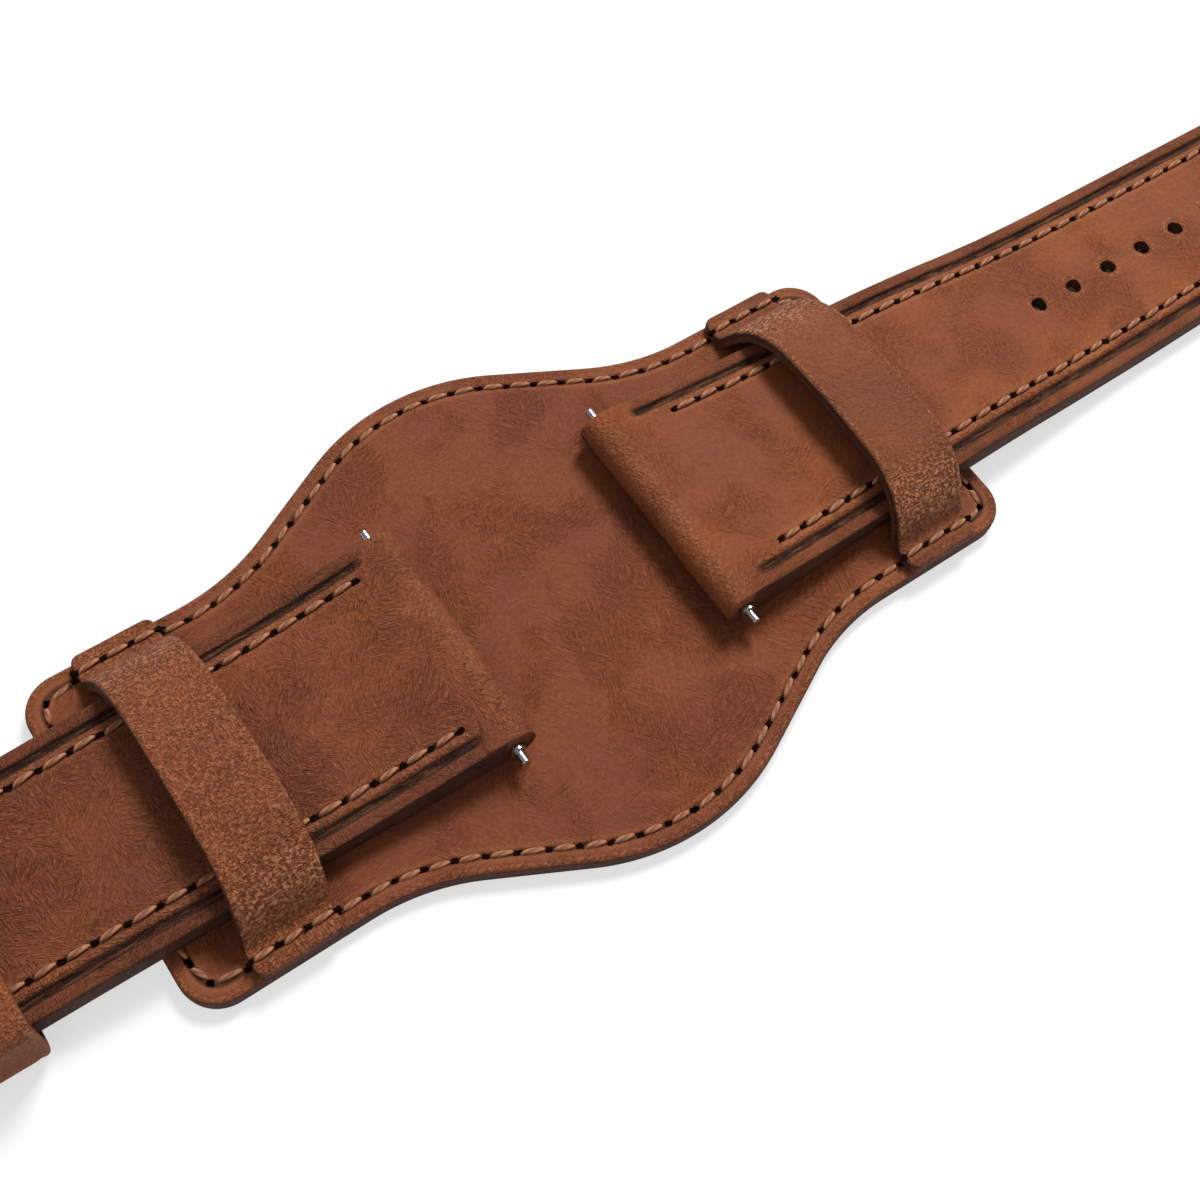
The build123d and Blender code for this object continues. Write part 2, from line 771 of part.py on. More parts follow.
# %% Buckle: a U-shaped frame that hangs from its pin to the table, and the tang that lies on its front rail
pin_x = buckle_strap.x(buckle_length)
frame_half = buckle_window_width / 2 + buckle_side_width
front_radius = buckle_front_thickness / 2
front_reach = buckle_frame_length - front_radius
window_end = buckle_frame_length - buckle_front_width
tilt = asin((buckle_pin_height - front_radius - table_gap) / front_reach)
pin_place = (pin_x, 0, buckle_pin_height)
outward = Vector(-cos(tilt), 0, -sin(tilt))
side_plane = Plane(origin=pin_place, x_dir=outward, z_dir=(0, 1, 0))
plan_plane = Plane(origin=pin_place, x_dir=outward, z_dir=(-sin(tilt), 0, cos(tilt)))

with BuildPart() as buckle_frame:
    with BuildSketch(side_plane):
        Circle(buckle_ear_radius)
        with Locations((front_reach, 0)):
            Circle(front_radius)
        make_hull()
    extrude(amount=frame_half, both=True)
    with BuildSketch(plan_plane) as frame_plan:
        with Locations((-over, 0)):
            Rectangle(buckle_frame_length + over, 2 * frame_half, align=(Align.MIN, Align.CENTER))
        fillet(frame_plan.vertices().group_by(Axis.X)[-1], buckle_corner_radius)
        with Locations((-over, 0)):
            Rectangle(window_end + over, buckle_window_width, align=(Align.MIN, Align.CENTER), mode=Mode.SUBTRACT)
    extrude(amount=over, both=True, mode=Mode.INTERSECT)
    with BuildSketch(side_plane):
        Circle(bar_tip_radius + buckle_pin_clearance)
    extrude(amount=buckle_window_width / 2 + buckle_pin_hold + buckle_pin_clearance, both=True, mode=Mode.SUBTRACT)
save(buckle_frame, "buckle_frame")

eye_bore = bar_tube_radius + tang_eye_clearance
eye_radius = eye_bore + tang_thickness
tang_end = buckle_frame_length + tang_overhang
with BuildPart() as buckle_tang:
    with BuildSketch(side_plane):
        with BuildLine():
            Polyline((0, eye_radius), (tang_end - tang_thickness, eye_radius), (tang_end, eye_radius - tang_bevel),
                     (tang_end, eye_radius - tang_thickness), (0, eye_radius - tang_thickness), close=True)
        make_face()
        Circle(eye_radius)
        Circle(eye_bore, mode=Mode.SUBTRACT)
    extrude(amount=tang_width / 2, both=True)
save(buckle_tang, "buckle_tang")
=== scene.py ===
# %% [markdown]
# A leather watch strap on a wide pad, dressed from its CAD frame.
# The frame gives every solid at its real size. This file makes the leather, the thread and the light.
# All new surfaces are worked out in millimetres with numpy and written into meshes in metres.

# %% Load the frame
from math import asin, atan2, cos, degrees, pi, radians, sin, sqrt

import bmesh
import bpy
import numpy as np
from mathutils import Matrix, Vector


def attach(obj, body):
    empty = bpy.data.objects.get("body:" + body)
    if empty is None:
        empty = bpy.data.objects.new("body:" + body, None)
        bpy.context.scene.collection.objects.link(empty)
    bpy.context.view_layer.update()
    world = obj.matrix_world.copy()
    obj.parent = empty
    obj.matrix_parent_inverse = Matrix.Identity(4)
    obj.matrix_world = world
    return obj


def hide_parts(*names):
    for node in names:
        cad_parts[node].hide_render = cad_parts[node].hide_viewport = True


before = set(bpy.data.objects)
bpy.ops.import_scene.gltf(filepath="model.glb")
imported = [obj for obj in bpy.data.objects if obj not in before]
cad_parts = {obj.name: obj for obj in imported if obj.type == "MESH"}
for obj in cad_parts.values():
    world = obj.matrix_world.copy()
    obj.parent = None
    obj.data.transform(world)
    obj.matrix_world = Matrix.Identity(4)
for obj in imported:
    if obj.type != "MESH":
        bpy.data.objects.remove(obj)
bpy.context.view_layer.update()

MM = 0.001

# %% [markdown]
# The camera stands where the photograph's camera stood.
# Its place was worked out from the pad's outline, so a point of the pad falls on the same pixel.
# A camera has three axes: right, up, and back towards the viewer.

# %% Camera
view_target = Vector((5.42, -2.28, 0)) * MM
view_distance = 151.6 * MM
view_right = Vector((0.8181, -0.5699, 0.0768))
view_up = Vector((0.4788, 0.7490, 0.4582))
view_back = Vector((-0.3186, -0.3381, 0.8855))


def new_object(name, data):
    """Puts a camera, a lamp or a mesh into the scene."""
    made = bpy.data.objects.new(name, data)
    bpy.context.scene.collection.objects.link(made)
    return made


camera = new_object("camera", bpy.data.cameras.new("camera"))
camera.data.lens = 48.84
camera.data.sensor_width = 36
camera.data.clip_start = 0.01
turn = Matrix((view_right, view_up, view_back)).transposed().to_4x4()
camera.matrix_world = Matrix.Translation(view_target + view_back * view_distance) @ turn
bpy.context.scene.camera = camera
print("camera", round(view_distance / MM), "mm away, looking down at", round(degrees(asin(view_back.z))), "degrees")

# %% [markdown]
# Soft studio light: one large lamp high on the holes' side, a weaker one opposite, and an even sky.
# The lamps are large, so the shadows under the bridges and the strap's ends have soft edges.

# %% Lamps and sky
bpy.context.scene.view_settings.view_transform = "Standard"


def lamp(name, place, power, size):
    """One square area lamp that faces the pad's middle."""
    holder = new_object(name, bpy.data.lights.new(name, "AREA"))
    holder.data.energy = power
    holder.data.size = size
    holder.location = place
    holder.rotation_euler = (-Vector(place)).to_track_quat("-Z", "Y").to_euler()
    print("lamp", name, power, "W")


lamp("key", (0.28, 0.20, 0.46), 3.9, 0.18)
lamp("fill", (-0.42, -0.30, 0.50), 0.5, 0.5)
sky = bpy.data.worlds.new("sky")
sky.use_nodes = True
sky.node_tree.nodes["Background"].inputs["Color"].default_value = (1, 1, 1, 1)
sky.node_tree.nodes["Background"].inputs["Strength"].default_value = 0.36
bpy.context.scene.world = sky


# %% [markdown]
# A material is a tree of nodes, and maths on its values is easier to read as plain sums.
# So one small class wraps a socket: adding or multiplying it adds the Math node that does so.
# One method makes every other node: its settings go in first, then what is on its sockets.

# %% Writing shader maths as plain sums
class Value:
    """A number that changes over a surface."""

    def __init__(self, finish, socket):
        self.finish = finish
        self.socket = socket

    def sum_with(self, operation, first, second):
        return self.finish.node("ShaderNodeMath", {"operation": operation}, {0: first, 1: second})

    def __add__(self, other):
        return self.sum_with("ADD", self, other)

    def __sub__(self, other):
        return self.sum_with("SUBTRACT", self, other)

    def __rsub__(self, other):
        return self.sum_with("SUBTRACT", other, self)

    def __mul__(self, other):
        return self.sum_with("MULTIPLY", self, other)

    __radd__ = __add__
    __rmul__ = __mul__

    def between(self, low, high):
        """Runs smoothly from 0 at low to 1 at high; with low above high it runs the other way."""
        return self.finish.node("ShaderNodeMapRange", {"interpolation_type": "SMOOTHSTEP"},
                                {"Value": self, "From Min": low, "From Max": high})


class Finish:
    """A material that is being put together."""

    def __init__(self, name):
        self.material = bpy.data.materials.new(name)
        self.material.use_nodes = True
        self.tree = self.material.node_tree
        self.shader = self.tree.nodes["Principled BSDF"]

    def node(self, kind, settings, sockets, output=0):
        made = self.tree.nodes.new(kind)
        for key, setting in settings.items():
            setattr(made, key, setting)
        for key, value in sockets.items():
            self.put(made.inputs[key], value)
        return Value(self, made.outputs[output])

    def put(self, socket, value):
        if isinstance(value, Value):
            self.tree.links.new(value.socket, socket)
        else:
            socket.default_value = value

    def place(self, stretch=(1, 1, 1), shift=0.0):
        """Where a point is on the piece, in stretched millimetres."""
        spot = self.node("ShaderNodeTexCoord", {}, {}, "Object")
        scaled = self.node("ShaderNodeVectorMath", {"operation": "MULTIPLY"},
                           {0: spot, 1: tuple(s / MM for s in stretch)})
        return self.node("ShaderNodeVectorMath", {"operation": "ADD"}, {0: scaled, 1: (shift, shift, shift)})

    def turned(self, angle, size, shift=0.0):
        """A place for long blotches: turned in plan, with a blotch size in millimetres for each axis."""
        spot = self.node("ShaderNodeTexCoord", {}, {}, "Object")
        return self.node("ShaderNodeMapping", {"vector_type": "TEXTURE"},
                         {"Vector": spot, "Location": (shift * MM, shift * MM, 0), "Rotation": (0, 0, angle),
                          "Scale": tuple(part * MM for part in size)})

    def cloud(self, spot, scale, detail=3.0, roughness=0.55, swirl=0.0):
        """Soft noise with scale blotches to the millimetre."""
        return self.node("ShaderNodeTexNoise", {}, {"Vector": spot, "Scale": scale, "Detail": detail,
                                                    "Roughness": roughness, "Distortion": swirl})

    def mark(self, name):
        """A number that the piece's mesh carries at each point, such as how worn it is."""
        return self.node("ShaderNodeAttribute", {"attribute_name": name}, {}, "Fac")

    def mix(self, share, first, second):
        """The first colour where share is 0, the second where it is 1."""
        return self.node("ShaderNodeMix", {"data_type": "RGBA"}, {0: share, 6: first, 7: second}, 2)

    def set(self, **sockets):
        for key, value in sockets.items():
            self.put(self.shader.inputs[key.replace("_", " ")], value)

    def raise_by(self, height):
        """Bumps the surface by a height in millimetres."""
        self.set(Normal=self.node("ShaderNodeBump", {}, {"Height": height, "Distance": MM, "Strength": 1.0}))


def tone(red, green, blue):
    """A colour as seen on a screen, 0 to 255, as the shader's linear one."""
    return tuple((part / 255 / 12.92) if part < 11 else ((part / 255 + 0.055) / 1.055) ** 2.4
                 for part in (red, green, blue)) + (1.0,)


# %% [markdown]
# The floor is white to the camera and still takes the strap's soft shadow.
# A Light Path node tells the camera's rays from the light's, so the white needs no extra light.
# Rays that steel throws back see the same white.

# %% Floor
floor_reach = 1.5
floor_glow = 0.62
floor_mesh = bpy.data.meshes.new("floor")
floor_corners = [(x * floor_reach, y * floor_reach, 0) for x, y in ((-1, -1), (1, -1), (1, 1), (-1, 1))]
floor_mesh.from_pydata(floor_corners, [], [(0, 1, 2, 3)])
floor = new_object("floor", floor_mesh)
white = Finish("white_floor")
white.set(Base_Color=(0.93, 0.93, 0.93, 1), Roughness=0.9, Specular_IOR_Level=0.0)
glow = white.node("ShaderNodeEmission", {}, {"Color": (1, 1, 1, 1), "Strength": 1.0})
straight, mirrored, through = (white.node("ShaderNodeLightPath", {}, {}, f"Is {kind} Ray")
                               for kind in ("Camera", "Glossy", "Transmission"))
seen = (straight + mirrored + through).between(0.0, 1.0)
plain = Value(white, white.shader.outputs[0])
blended = white.node("ShaderNodeMixShader", {}, {0: seen * floor_glow, 1: plain, 2: glow})
white.put(white.tree.nodes["Material Output"].inputs["Surface"], blended)
floor_mesh.materials.append(white.material)
print("floor", 2 * floor_reach, "m wide")


# %% [markdown]
# Oiled leather is reddish brown with soft patches of orange and plum.
# Pressing and bending raises short hair-like wrinkles, and a bend stretches the grain into pale pebbles.
# Both are painted paler on their crests and darker in their hollows: partly the grain's own tone, partly painted
# highlight and painted shade.
# Cut edges stay dark; pressed grooves and the seam's channel are darker leather with painted shade. The meshes say
# where, by four numbers at each point:
# edge, groove, wear together with painted highlight, and the distance from the seam. A number that a mesh lacks is
# 0.
# The finish is built as a painter would, one thin layer over the other, each with the share that it covers.

# %% Leather
pore_brown, pale_stroke_and_highlight, dark_stroke_and_shade = tone(84, 44, 22), tone(156, 92, 52), tone(72, 36, 22)
worn_and_lit_brown, pale_pebble_and_highlight, dark_pebble_and_shade = tone(140, 84, 50), tone(184, 119, 79), tone(70, 36, 20)
seam_rim, seam_bed_and_shade = tone(152, 92, 54), tone(46, 24, 14)
groove_dark_and_shade, groove_pale = tone(32, 18, 12), tone(106, 66, 45)
edge_dark, edge_pale = tone(24, 12, 8), tone(80, 46, 30)
stroke_size = (0.85, 0.21, 0.26)
stroke_turns = (0.25, 1.15, 2.2)


def strokes(made, spot, along, shift):
    """Short strokes: noise stretched along three directions, and two soft masks that choose among them."""
    ways = [made.cloud(made.turned(along + turn, stroke_size, shift), 1.0, 2.0, 0.6, 1.0) for turn in stroke_turns]
    choice = made.cloud(spot, 0.2, 1.0, 0.5, 0.8).between(0.46, 0.54)
    choice_two = made.cloud(made.place(shift=shift + 30), 0.26, 1.0, 0.5, 0.8).between(0.5, 0.57)
    field = ways[0] * (1 - choice) + ways[1] * choice
    return field * (1 - choice_two) + ways[2] * choice_two


def leather(name, plum, brown, orange, wrinkle, calm, along=0.0, shift=0.0, grain=0.02):
    """Oiled leather. Calm is the share of the strokes that is everywhere; the rest comes in patches."""
    made = Finish(name)
    spot = made.place(shift=shift)
    blotch = made.cloud(spot, 0.36, 4.0, 0.6, 0.5)
    speck = made.cloud(spot, 2.4, 3.0, 0.65)
    fibre = made.cloud(made.place((0.2, 2.2, 3.2), shift), 1.5, 4.0, 0.75)
    pebble = made.cloud(made.place((1.0, 1.15, 1.0), shift + 5.0), 3.2, 1.5, 0.5, 0.5)
    pore = made.node("ShaderNodeTexVoronoi", {}, {"Vector": spot, "Scale": 3.1}, "Distance").between(0.0, 0.5)
    field = strokes(made, spot, along, shift)
    amount = (made.cloud(spot, 0.13, 2.0, 0.5, 0.3).between(0.42, 0.6) * (1 - calm) + calm) * wrinkle
    worn_and_lit, groove, edge, near_seam = (made.mark(key) for key in ("wear_and_highlight", "groove", "edge", "seam"))
    rim = near_seam.between(0.95, 0.55) * near_seam.between(0.2, 0.42)

    patch = made.cloud(spot, 0.085, 2.0, 0.5, 0.6).between(0.32, 0.68)
    colour = made.mix(patch, tone(*plum), tone(*orange))
    for share, layer in [(blotch.between(0.3, 0.66) * 0.6, tone(*brown)),
                         (speck.between(0.3, 0.75) * 0.4, pore_brown),
                         # Pale strokes on the wrinkles' crests and dark strokes in their hollows: grain tone with
                         # painted highlight and painted shade.
                         (field.between(0.52, 0.7) * amount * 0.65, pale_stroke_and_highlight),
                         (field.between(0.49, 0.31) * amount * 0.65, dark_stroke_and_shade),
                         # Paler where the leather is worn and stretched, and along the lines where this mark carries
                         # painted highlight.
                         (worn_and_lit * 0.3, worn_and_lit_brown),
                         # Pale on the raised pebbles and dark between them: the stretched grain's own tone with
                         # painted highlight and painted shade.
                         (worn_and_lit * pebble.between(0.46, 0.62) * 0.95, pale_pebble_and_highlight),
                         (worn_and_lit * pebble.between(0.46, 0.34) * 0.75, dark_pebble_and_shade),
                         (rim * (0.05 + speck * 0.5), seam_rim),
                         # Dark along the seam's channel: pressed leather with painted shade in the channel.
                         (near_seam.between(0.4, 0.1) * 0.75, seam_bed_and_shade),
                         # Dark in the pressed groove: darker leather together with painted shade in the groove.
                         (groove * 0.93, made.mix(fibre.between(0.42, 0.68), groove_dark_and_shade, groove_pale)),
                         (edge * 0.88, made.mix(fibre.between(0.38, 0.7), edge_dark, edge_pale))]:
        colour = made.mix(share, colour, layer)
    made.set(Base_Color=colour, Roughness=0.6 + speck * 0.2 + groove * 0.15, Specular_IOR_Level=0.2)
    made.raise_by(pore * grain + field * amount * 0.8 + blotch * 0.12 + worn_and_lit * pebble.between(0.36, 0.64) * 0.24
                  + speck * 0.05 + fibre * (groove + edge) * 0.2)
    print("leather", name, len(made.tree.nodes), "nodes")
    return made.material


pad_leather = leather("pad_leather", (114, 58, 38), (117, 61, 32), (129, 68, 34), 0.5, 0.35)
tip_leather = leather("tip_half_leather", (118, 61, 36), (124, 65, 31), (134, 71, 30), 0.45, 0.25, 0.1, 40.0)
buckle_leather = leather("buckle_half_leather", (115, 60, 43), (121, 64, 37), (136, 74, 40), 0.8, 0.55, 0.5, 80.0,
                         0.03)
bridge_leathers = {
    "tip": leather("tip_bridge_leather", (110, 58, 37), (114, 61, 33), (124, 69, 37), 0.6, 0.4, 1.4, 120.0, 0.02),
    "buckle": leather("buckle_bridge_leather", (130, 69, 43), (136, 72, 39), (148, 81, 45), 0.9, 0.6, 1.4, 120.0,
                      0.04)}
lining_leather = leather("lining_leather", (96, 58, 40), (104, 64, 42), (116, 72, 46), 0.2, 0.3, 0.0, 160.0, 0.01)


# %% [markdown]
# Waxed thread is twisted from plies and is paler than the leather. Its slanting bands of light are painted: paler on
# each ply's crest and darker between the plies.
# Needle holes are painted shade, nearly black. The spring bars and the buckle are steel, one polished and one
# brushed.

# %% Thread, needle holes and steel
def thread_finish():
    """Painted highlight where a ply stands out and painted shade between the plies, with a little fluff."""
    made = Finish("waxed_thread")
    fluff = made.cloud(made.place(shift=5.0), 4.2, 4.0, 0.7)
    colour = made.mix(made.mark("ply_highlight").between(0.0, 0.8), tone(104, 62, 40), tone(176, 116, 78))
    colour = made.mix(fluff.between(0.35, 0.75) * 0.45, colour, tone(112, 68, 44))
    made.set(Base_Color=colour, Roughness=0.62 + fluff * 0.15)
    made.raise_by(fluff * 0.05)
    return made.material


def hole_shade_finish():
    """Painted shade for the inside of a hole: nearly black, a little uneven, and without gloss."""
    made = Finish("needle_hole_shade")
    depth = made.cloud(made.place(shift=2.0), 3.0).between(0.4, 0.7)
    made.set(Base_Color=made.mix(depth, tone(12, 6, 4), tone(30, 16, 10)), Roughness=0.9, Specular_IOR_Level=0.0)
    return made.material


def steel(name, bright, rough, drawn):
    """Steel with fine drawn lines along the bar, and small changes in its polish."""
    made = Finish(name)
    lines = made.cloud(made.place((9.0, 0.6, 9.0) if drawn else (1.0, 7.0, 1.0)), 1.4, 3.0, 0.6)
    smear = made.cloud(made.place(), 0.5, 2.0, 0.5).between(0.3, 0.7)
    made.set(Base_Color=made.mix(smear, (bright,) * 3 + (1,), (bright * 0.86,) * 3 + (1,)),
             Roughness=rough + lines * 0.14, Metallic=1.0)
    made.raise_by(lines * 0.006)
    return made.material


thread = thread_finish()
needle_hole_shade = hole_shade_finish()
polished_steel = steel("polished_steel", 0.44, 0.16, False)
spring_steel = steel("spring_steel", 0.62, 0.3, False)
brushed_steel = steel("brushed_steel", 0.66, 0.27, True)

steel_parts = {"buckle_frame": brushed_steel, "buckle_tang": brushed_steel}
for bar in ("tip_bar", "buckle_side_bar", "buckle_pin"):
    steel_parts |= {f"{bar}_{part}": polished_steel for part in ("tube", "far_tip", "near_tip")}
    steel_parts[f"{bar}_coil"] = spring_steel
for node, finish in steel_parts.items():
    bpy.data.objects[node].data.materials.clear()
    bpy.data.objects[node].data.materials.append(finish)
print("steel on", len(steel_parts), "pieces")


# %% [markdown]
# Two ways to make a mesh serve the whole strap.
# A plate is a sheet with a thickness: one grid of places in plan, with a height above and a height below.
# A strip is a closed ring of points carried along a path, for bands that bend over the straps.
# Both are closed all round, and both carry the marks that the leather reads.

# %% Meshes from grids
no_seam = 5.0
sharp_angle = radians(38)


def write_mesh(name, points, faces, marks, material, sharp=sharp_angle):
    """Makes an object from points in millimetres, with one number per point for each mark."""
    mesh = bpy.data.meshes.new(name)
    mesh.from_pydata((points * MM).tolist(), [], faces)
    for key, values in marks.items():
        mesh.attributes.new(key, "FLOAT", "POINT").data.foreach_set("value", values.astype(np.float32).ravel())
    mesh.materials.append(material)
    smooth(mesh, sharp)
    mesh.validate()
    return new_object(name, mesh)


def smooth(mesh, sharp):
    """Shades a mesh smooth, except at edges that turn by more than the sharp angle."""
    mesh.polygons.foreach_set("use_smooth", np.ones(len(mesh.polygons), dtype=bool))
    mesh.set_sharp_from_angle(angle=sharp)


def belongs(piece, body, node=None):
    """The piece rides a body and stands in for a CAD node, which it hides."""
    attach(piece, body)
    if node:
        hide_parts(node)
    print(piece.name, len(piece.data.polygons), "faces")


def close_up(piece):
    """Merges the points that meet at a rounded end, and drops the faces that they leave with no area."""
    work = bmesh.new()
    work.from_mesh(piece.data)
    bmesh.ops.remove_doubles(work, verts=work.verts, dist=2e-7)
    bmesh.ops.dissolve_degenerate(work, edges=work.edges, dist=1e-8)
    work.to_mesh(piece.data)
    work.free()


def plate(name, x, y, top, bottom, marks, material):
    """A closed sheet over a grid in plan, turned so that x grows. Each mark has its values above and below."""
    total = x.size
    flip = slice(None, None, 1 if x[-1, 0] > x[0, 0] else -1)
    marks = {key: np.stack([np.broadcast_to(values, x.shape)[flip] for values in pair])
             for key, pair in marks.items()}
    x, y, top, bottom = (grid[flip] for grid in (x, y, top, bottom))
    index = np.arange(total).reshape(x.shape)
    upper = np.stack([index[:-1, :-1], index[1:, :-1], index[1:, 1:], index[:-1, 1:]], -1).reshape(-1, 4)
    rim = np.concatenate([index[0, :], index[1:, -1], index[-1, -2::-1], index[-2:0:-1, 0]])
    ahead = np.roll(rim, -1)
    walls = np.stack([rim, ahead, ahead + total, rim + total], -1)
    faces = np.concatenate([upper, upper[:, ::-1] + total, walls]).tolist()
    points = np.concatenate([np.stack([x, y, z], -1).reshape(-1, 3) for z in (top, bottom)])
    piece = write_mesh(name, points, faces, marks, material)
    close_up(piece)
    return piece


def strip(name, loops, closed, marks, material):
    """A ring of points carried along a path: loops has one row of ring points per station."""
    stations, ring, _ = loops.shape
    index = np.arange(stations * ring).reshape(stations, ring)
    along = np.vstack([index, index[:1]]) if closed else index
    around = np.roll(along, -1, axis=1)
    faces = np.stack([along[:-1], along[1:], around[1:], around[:-1]], -1).reshape(-1, 4).tolist()
    if not closed:
        faces += [index[0].tolist(), index[-1][::-1].tolist()]
    return write_mesh(name, loops.reshape(-1, 3), faces, marks, material)


def band_grid(stations, half_width, thick, edge_round, face_points, round_points):
    """A band's place across, length along and height above its inner side, for every point of a strip.

    Its section runs across the face, down a quarter circle at each rim, and back along the inner side.
    """
    turn = np.linspace(0, pi / 2, round_points)
    flat_end = half_width - edge_round
    across = np.concatenate([np.linspace(-flat_end, flat_end, face_points), flat_end + edge_round * np.sin(turn[1:]),
                             np.linspace(half_width, -half_width, 10), -flat_end - edge_round * np.sin(turn[:0:-1])])
    height = np.concatenate([np.full(face_points, thick), thick - edge_round + edge_round * np.cos(turn[1:]),
                             np.zeros(10), thick - edge_round + edge_round * np.cos(turn[:0:-1])])
    W, S = np.meshgrid(across, stations)
    return W, S, np.broadcast_to(height, W.shape).copy()


# %% [markdown]
# A few curves come back in every piece: a soft step, a bump, a rounded edge and slow waves.
# Each is one line of numpy, so a height can be written as the sum of what was done to the leather.

# %% Curves for heights
def ease(value, low, high):
    """A soft step from 0 at low to 1 at high: three times the share's square less twice its cube."""
    share = np.clip((value - low) / (high - low), 0, 1)
    return share * share * (3 - 2 * share)


def bell(value, width):
    """A bump one high and about two widths across: e to minus the square of value over width."""
    return np.exp(-(value / width) ** 2)


def rounding(inset, radius):
    """How far a rounded edge has dropped at a distance in from it: a quarter of a circle."""
    near = np.clip(radius - inset, 0, radius)
    return radius - np.sqrt(np.maximum(radius * radius - near * near, 0))


def ripple(x, y, height, seed):
    """Slow uneven waves, the mean of seven sines with random directions and lengths of 7 to 22 mm."""
    random = np.random.default_rng(seed)
    waves = np.zeros_like(x)
    for _ in range(7):
        angle, length, start = random.uniform(0, 2 * pi), random.uniform(7, 22), random.uniform(0, 2 * pi)
        waves += np.sin(2 * pi * (x * cos(angle) + y * sin(angle)) / length + start)
    return height * waves / 7


# %% [markdown]
# The pad's outline has parallel ends and a round swell under the watch.
# Each side is an arc out, a short straight run and an arc over the crest, as in the CAD model.
# Moved in by an inset, the arcs keep their centres, so every seam and edge line is exact.

# %% The pad's outline
pad_length = 87.6
pad_width = 33.6
pad_middle = 51.5
swell_length = 56.0
corner = 3.6
swell_end = swell_length / 2
swell_rise = (pad_middle - pad_width) / 2
swell_radius = 0.9 * (swell_end ** 2 + swell_rise ** 2) / (4 * swell_rise)
lift = 2 * swell_radius - swell_rise
swell_slope = asin(2 * swell_radius / sqrt(swell_end ** 2 + lift ** 2)) - atan2(lift, swell_end)
print("swell radius", round(swell_radius, 2), "mm, slope", round(degrees(swell_slope), 1), "degrees")


def pad_half(x, inset):
    """Half the pad's width at x, for its outline moved in by inset, and -1 past its end."""
    x = np.abs(x)
    wide, tight = swell_radius + inset, swell_radius - inset
    foot_y, crest_y = pad_width / 2 + swell_radius, pad_middle / 2 - swell_radius
    low_x, low_y = swell_end - wide * sin(swell_slope), foot_y - wide * cos(swell_slope)
    high_x, high_y = tight * sin(swell_slope), crest_y + tight * cos(swell_slope)
    on_foot = foot_y - np.sqrt(np.maximum(wide ** 2 - (swell_end - x) ** 2, 0))
    on_crest = crest_y + np.sqrt(np.maximum(tight ** 2 - x ** 2, 0))
    on_run = low_y + (high_y - low_y) * (low_x - x) / (low_x - high_x)
    half = np.where(x > swell_end, pad_width / 2 - inset,
                    np.where(x > low_x, on_foot, np.where(x > high_x, on_run, on_crest)))
    radius = np.maximum(corner - inset, 0.2)
    past = x - (pad_length / 2 - inset - radius)
    half = half - np.where(past > 0, radius - np.sqrt(np.maximum(radius ** 2 - past ** 2, 0)), 0)
    return np.where(x > pad_length / 2 - inset + 1e-9, -1.0, half)


def inset_at(half, x, y, deepest):
    """How far a place is in from an outline, found by halving the range 26 times."""
    low, high = np.zeros_like(x), np.full_like(x, deepest)
    for _ in range(26):
        middle = (low + high) / 2
        inside = half(x, middle) >= np.abs(y)
        low, high = np.where(inside, middle, low), np.where(inside, high, middle)
    return (low + high) / 2


# %% [markdown]
# The grid's lines run along the outline, close together at the edge and the seam and wide apart inside.
# Past the swell the outline only narrows at its corners, so there the lines are scaled to fit.

# %% The pad's grid
edge_lines = [0, 0.03, 0.1, 0.2, 0.32, 0.45, 0.62, 0.85, 1.08, 1.22, 1.32, 1.42, 1.52, 1.6, 1.68, 1.78, 1.88, 1.98,
              2.12, 2.4, 2.8, 3.2]
deep_lines = [3.6, 4.4, 5.6, 7.4, 9.8, 12.6]
end_x = pad_length / 2 - np.array(edge_lines)
middle_x = np.arange(-(pad_length / 2 - corner), pad_length / 2 - corner + 0.001, 0.3)
pad_x = np.unique(np.round(np.concatenate([-end_x, middle_x, end_x]), 4))[:, None]
pad_lines = np.array(edge_lines + deep_lines)[None, :]
at_swell_end = pad_half(np.array([[swell_end]]), pad_lines)
side = np.where(np.abs(pad_x) <= swell_end, pad_half(pad_x, pad_lines),
                pad_half(pad_x, 0.0) * at_swell_end / at_swell_end[:, :1])
Y = np.concatenate([-side, np.zeros_like(pad_x), side[:, ::-1]], axis=1)
X = np.repeat(pad_x, Y.shape[1], axis=1)
pad_inset = inset_at(pad_half, X, Y, 20.0)
print("pad grid", X.shape, "deepest inset", round(float(pad_inset.max()), 1), "mm")

# %% [markdown]
# Stitches go from hole to hole, so the holes are worked out first, evenly along each run of the seam.
# Where a bridge's foot lies on the pad, the seam climbs onto the foot.
# At a corner one hole sits on the bend, and two stitches meet there.

# %% Where the pad is sewn
pitch = 2.75
pad_seam = 1.6
pad_top = 2.0
lining_top = 0.9
tip_foot = (31.0, 39.0)
buckle_foot = (-38.2, -30.2)
foot_top = pad_top + 1.15
foot_gap = 0.25
bend_cut = 0.7
bend_drop = 3.0
seam_end = pad_length / 2 - pad_seam
seam_side = pad_width / 2 - pad_seam


def lengths(path):
    """The length along a path at each of its points."""
    return np.concatenate([[0], np.cumsum(np.linalg.norm(np.diff(path, axis=0), axis=1))])


def even_holes(path):
    """Holes at an even pitch along a path."""
    length = lengths(path)
    count = round(length[-1] / pitch)
    places = np.arange(count + 1) * length[-1] / count
    return np.stack([np.interp(places, length, path[:, k]) for k in (0, 1)], -1)


def run_holes(low, high, way):
    """Holes along one long side of the pad between two places."""
    fine = np.linspace(low, high, 400)
    x = even_holes(np.stack([fine, pad_half(fine, pad_seam)], -1))[:, 0]
    return np.stack([x, way * pad_half(x, pad_seam)], -1)


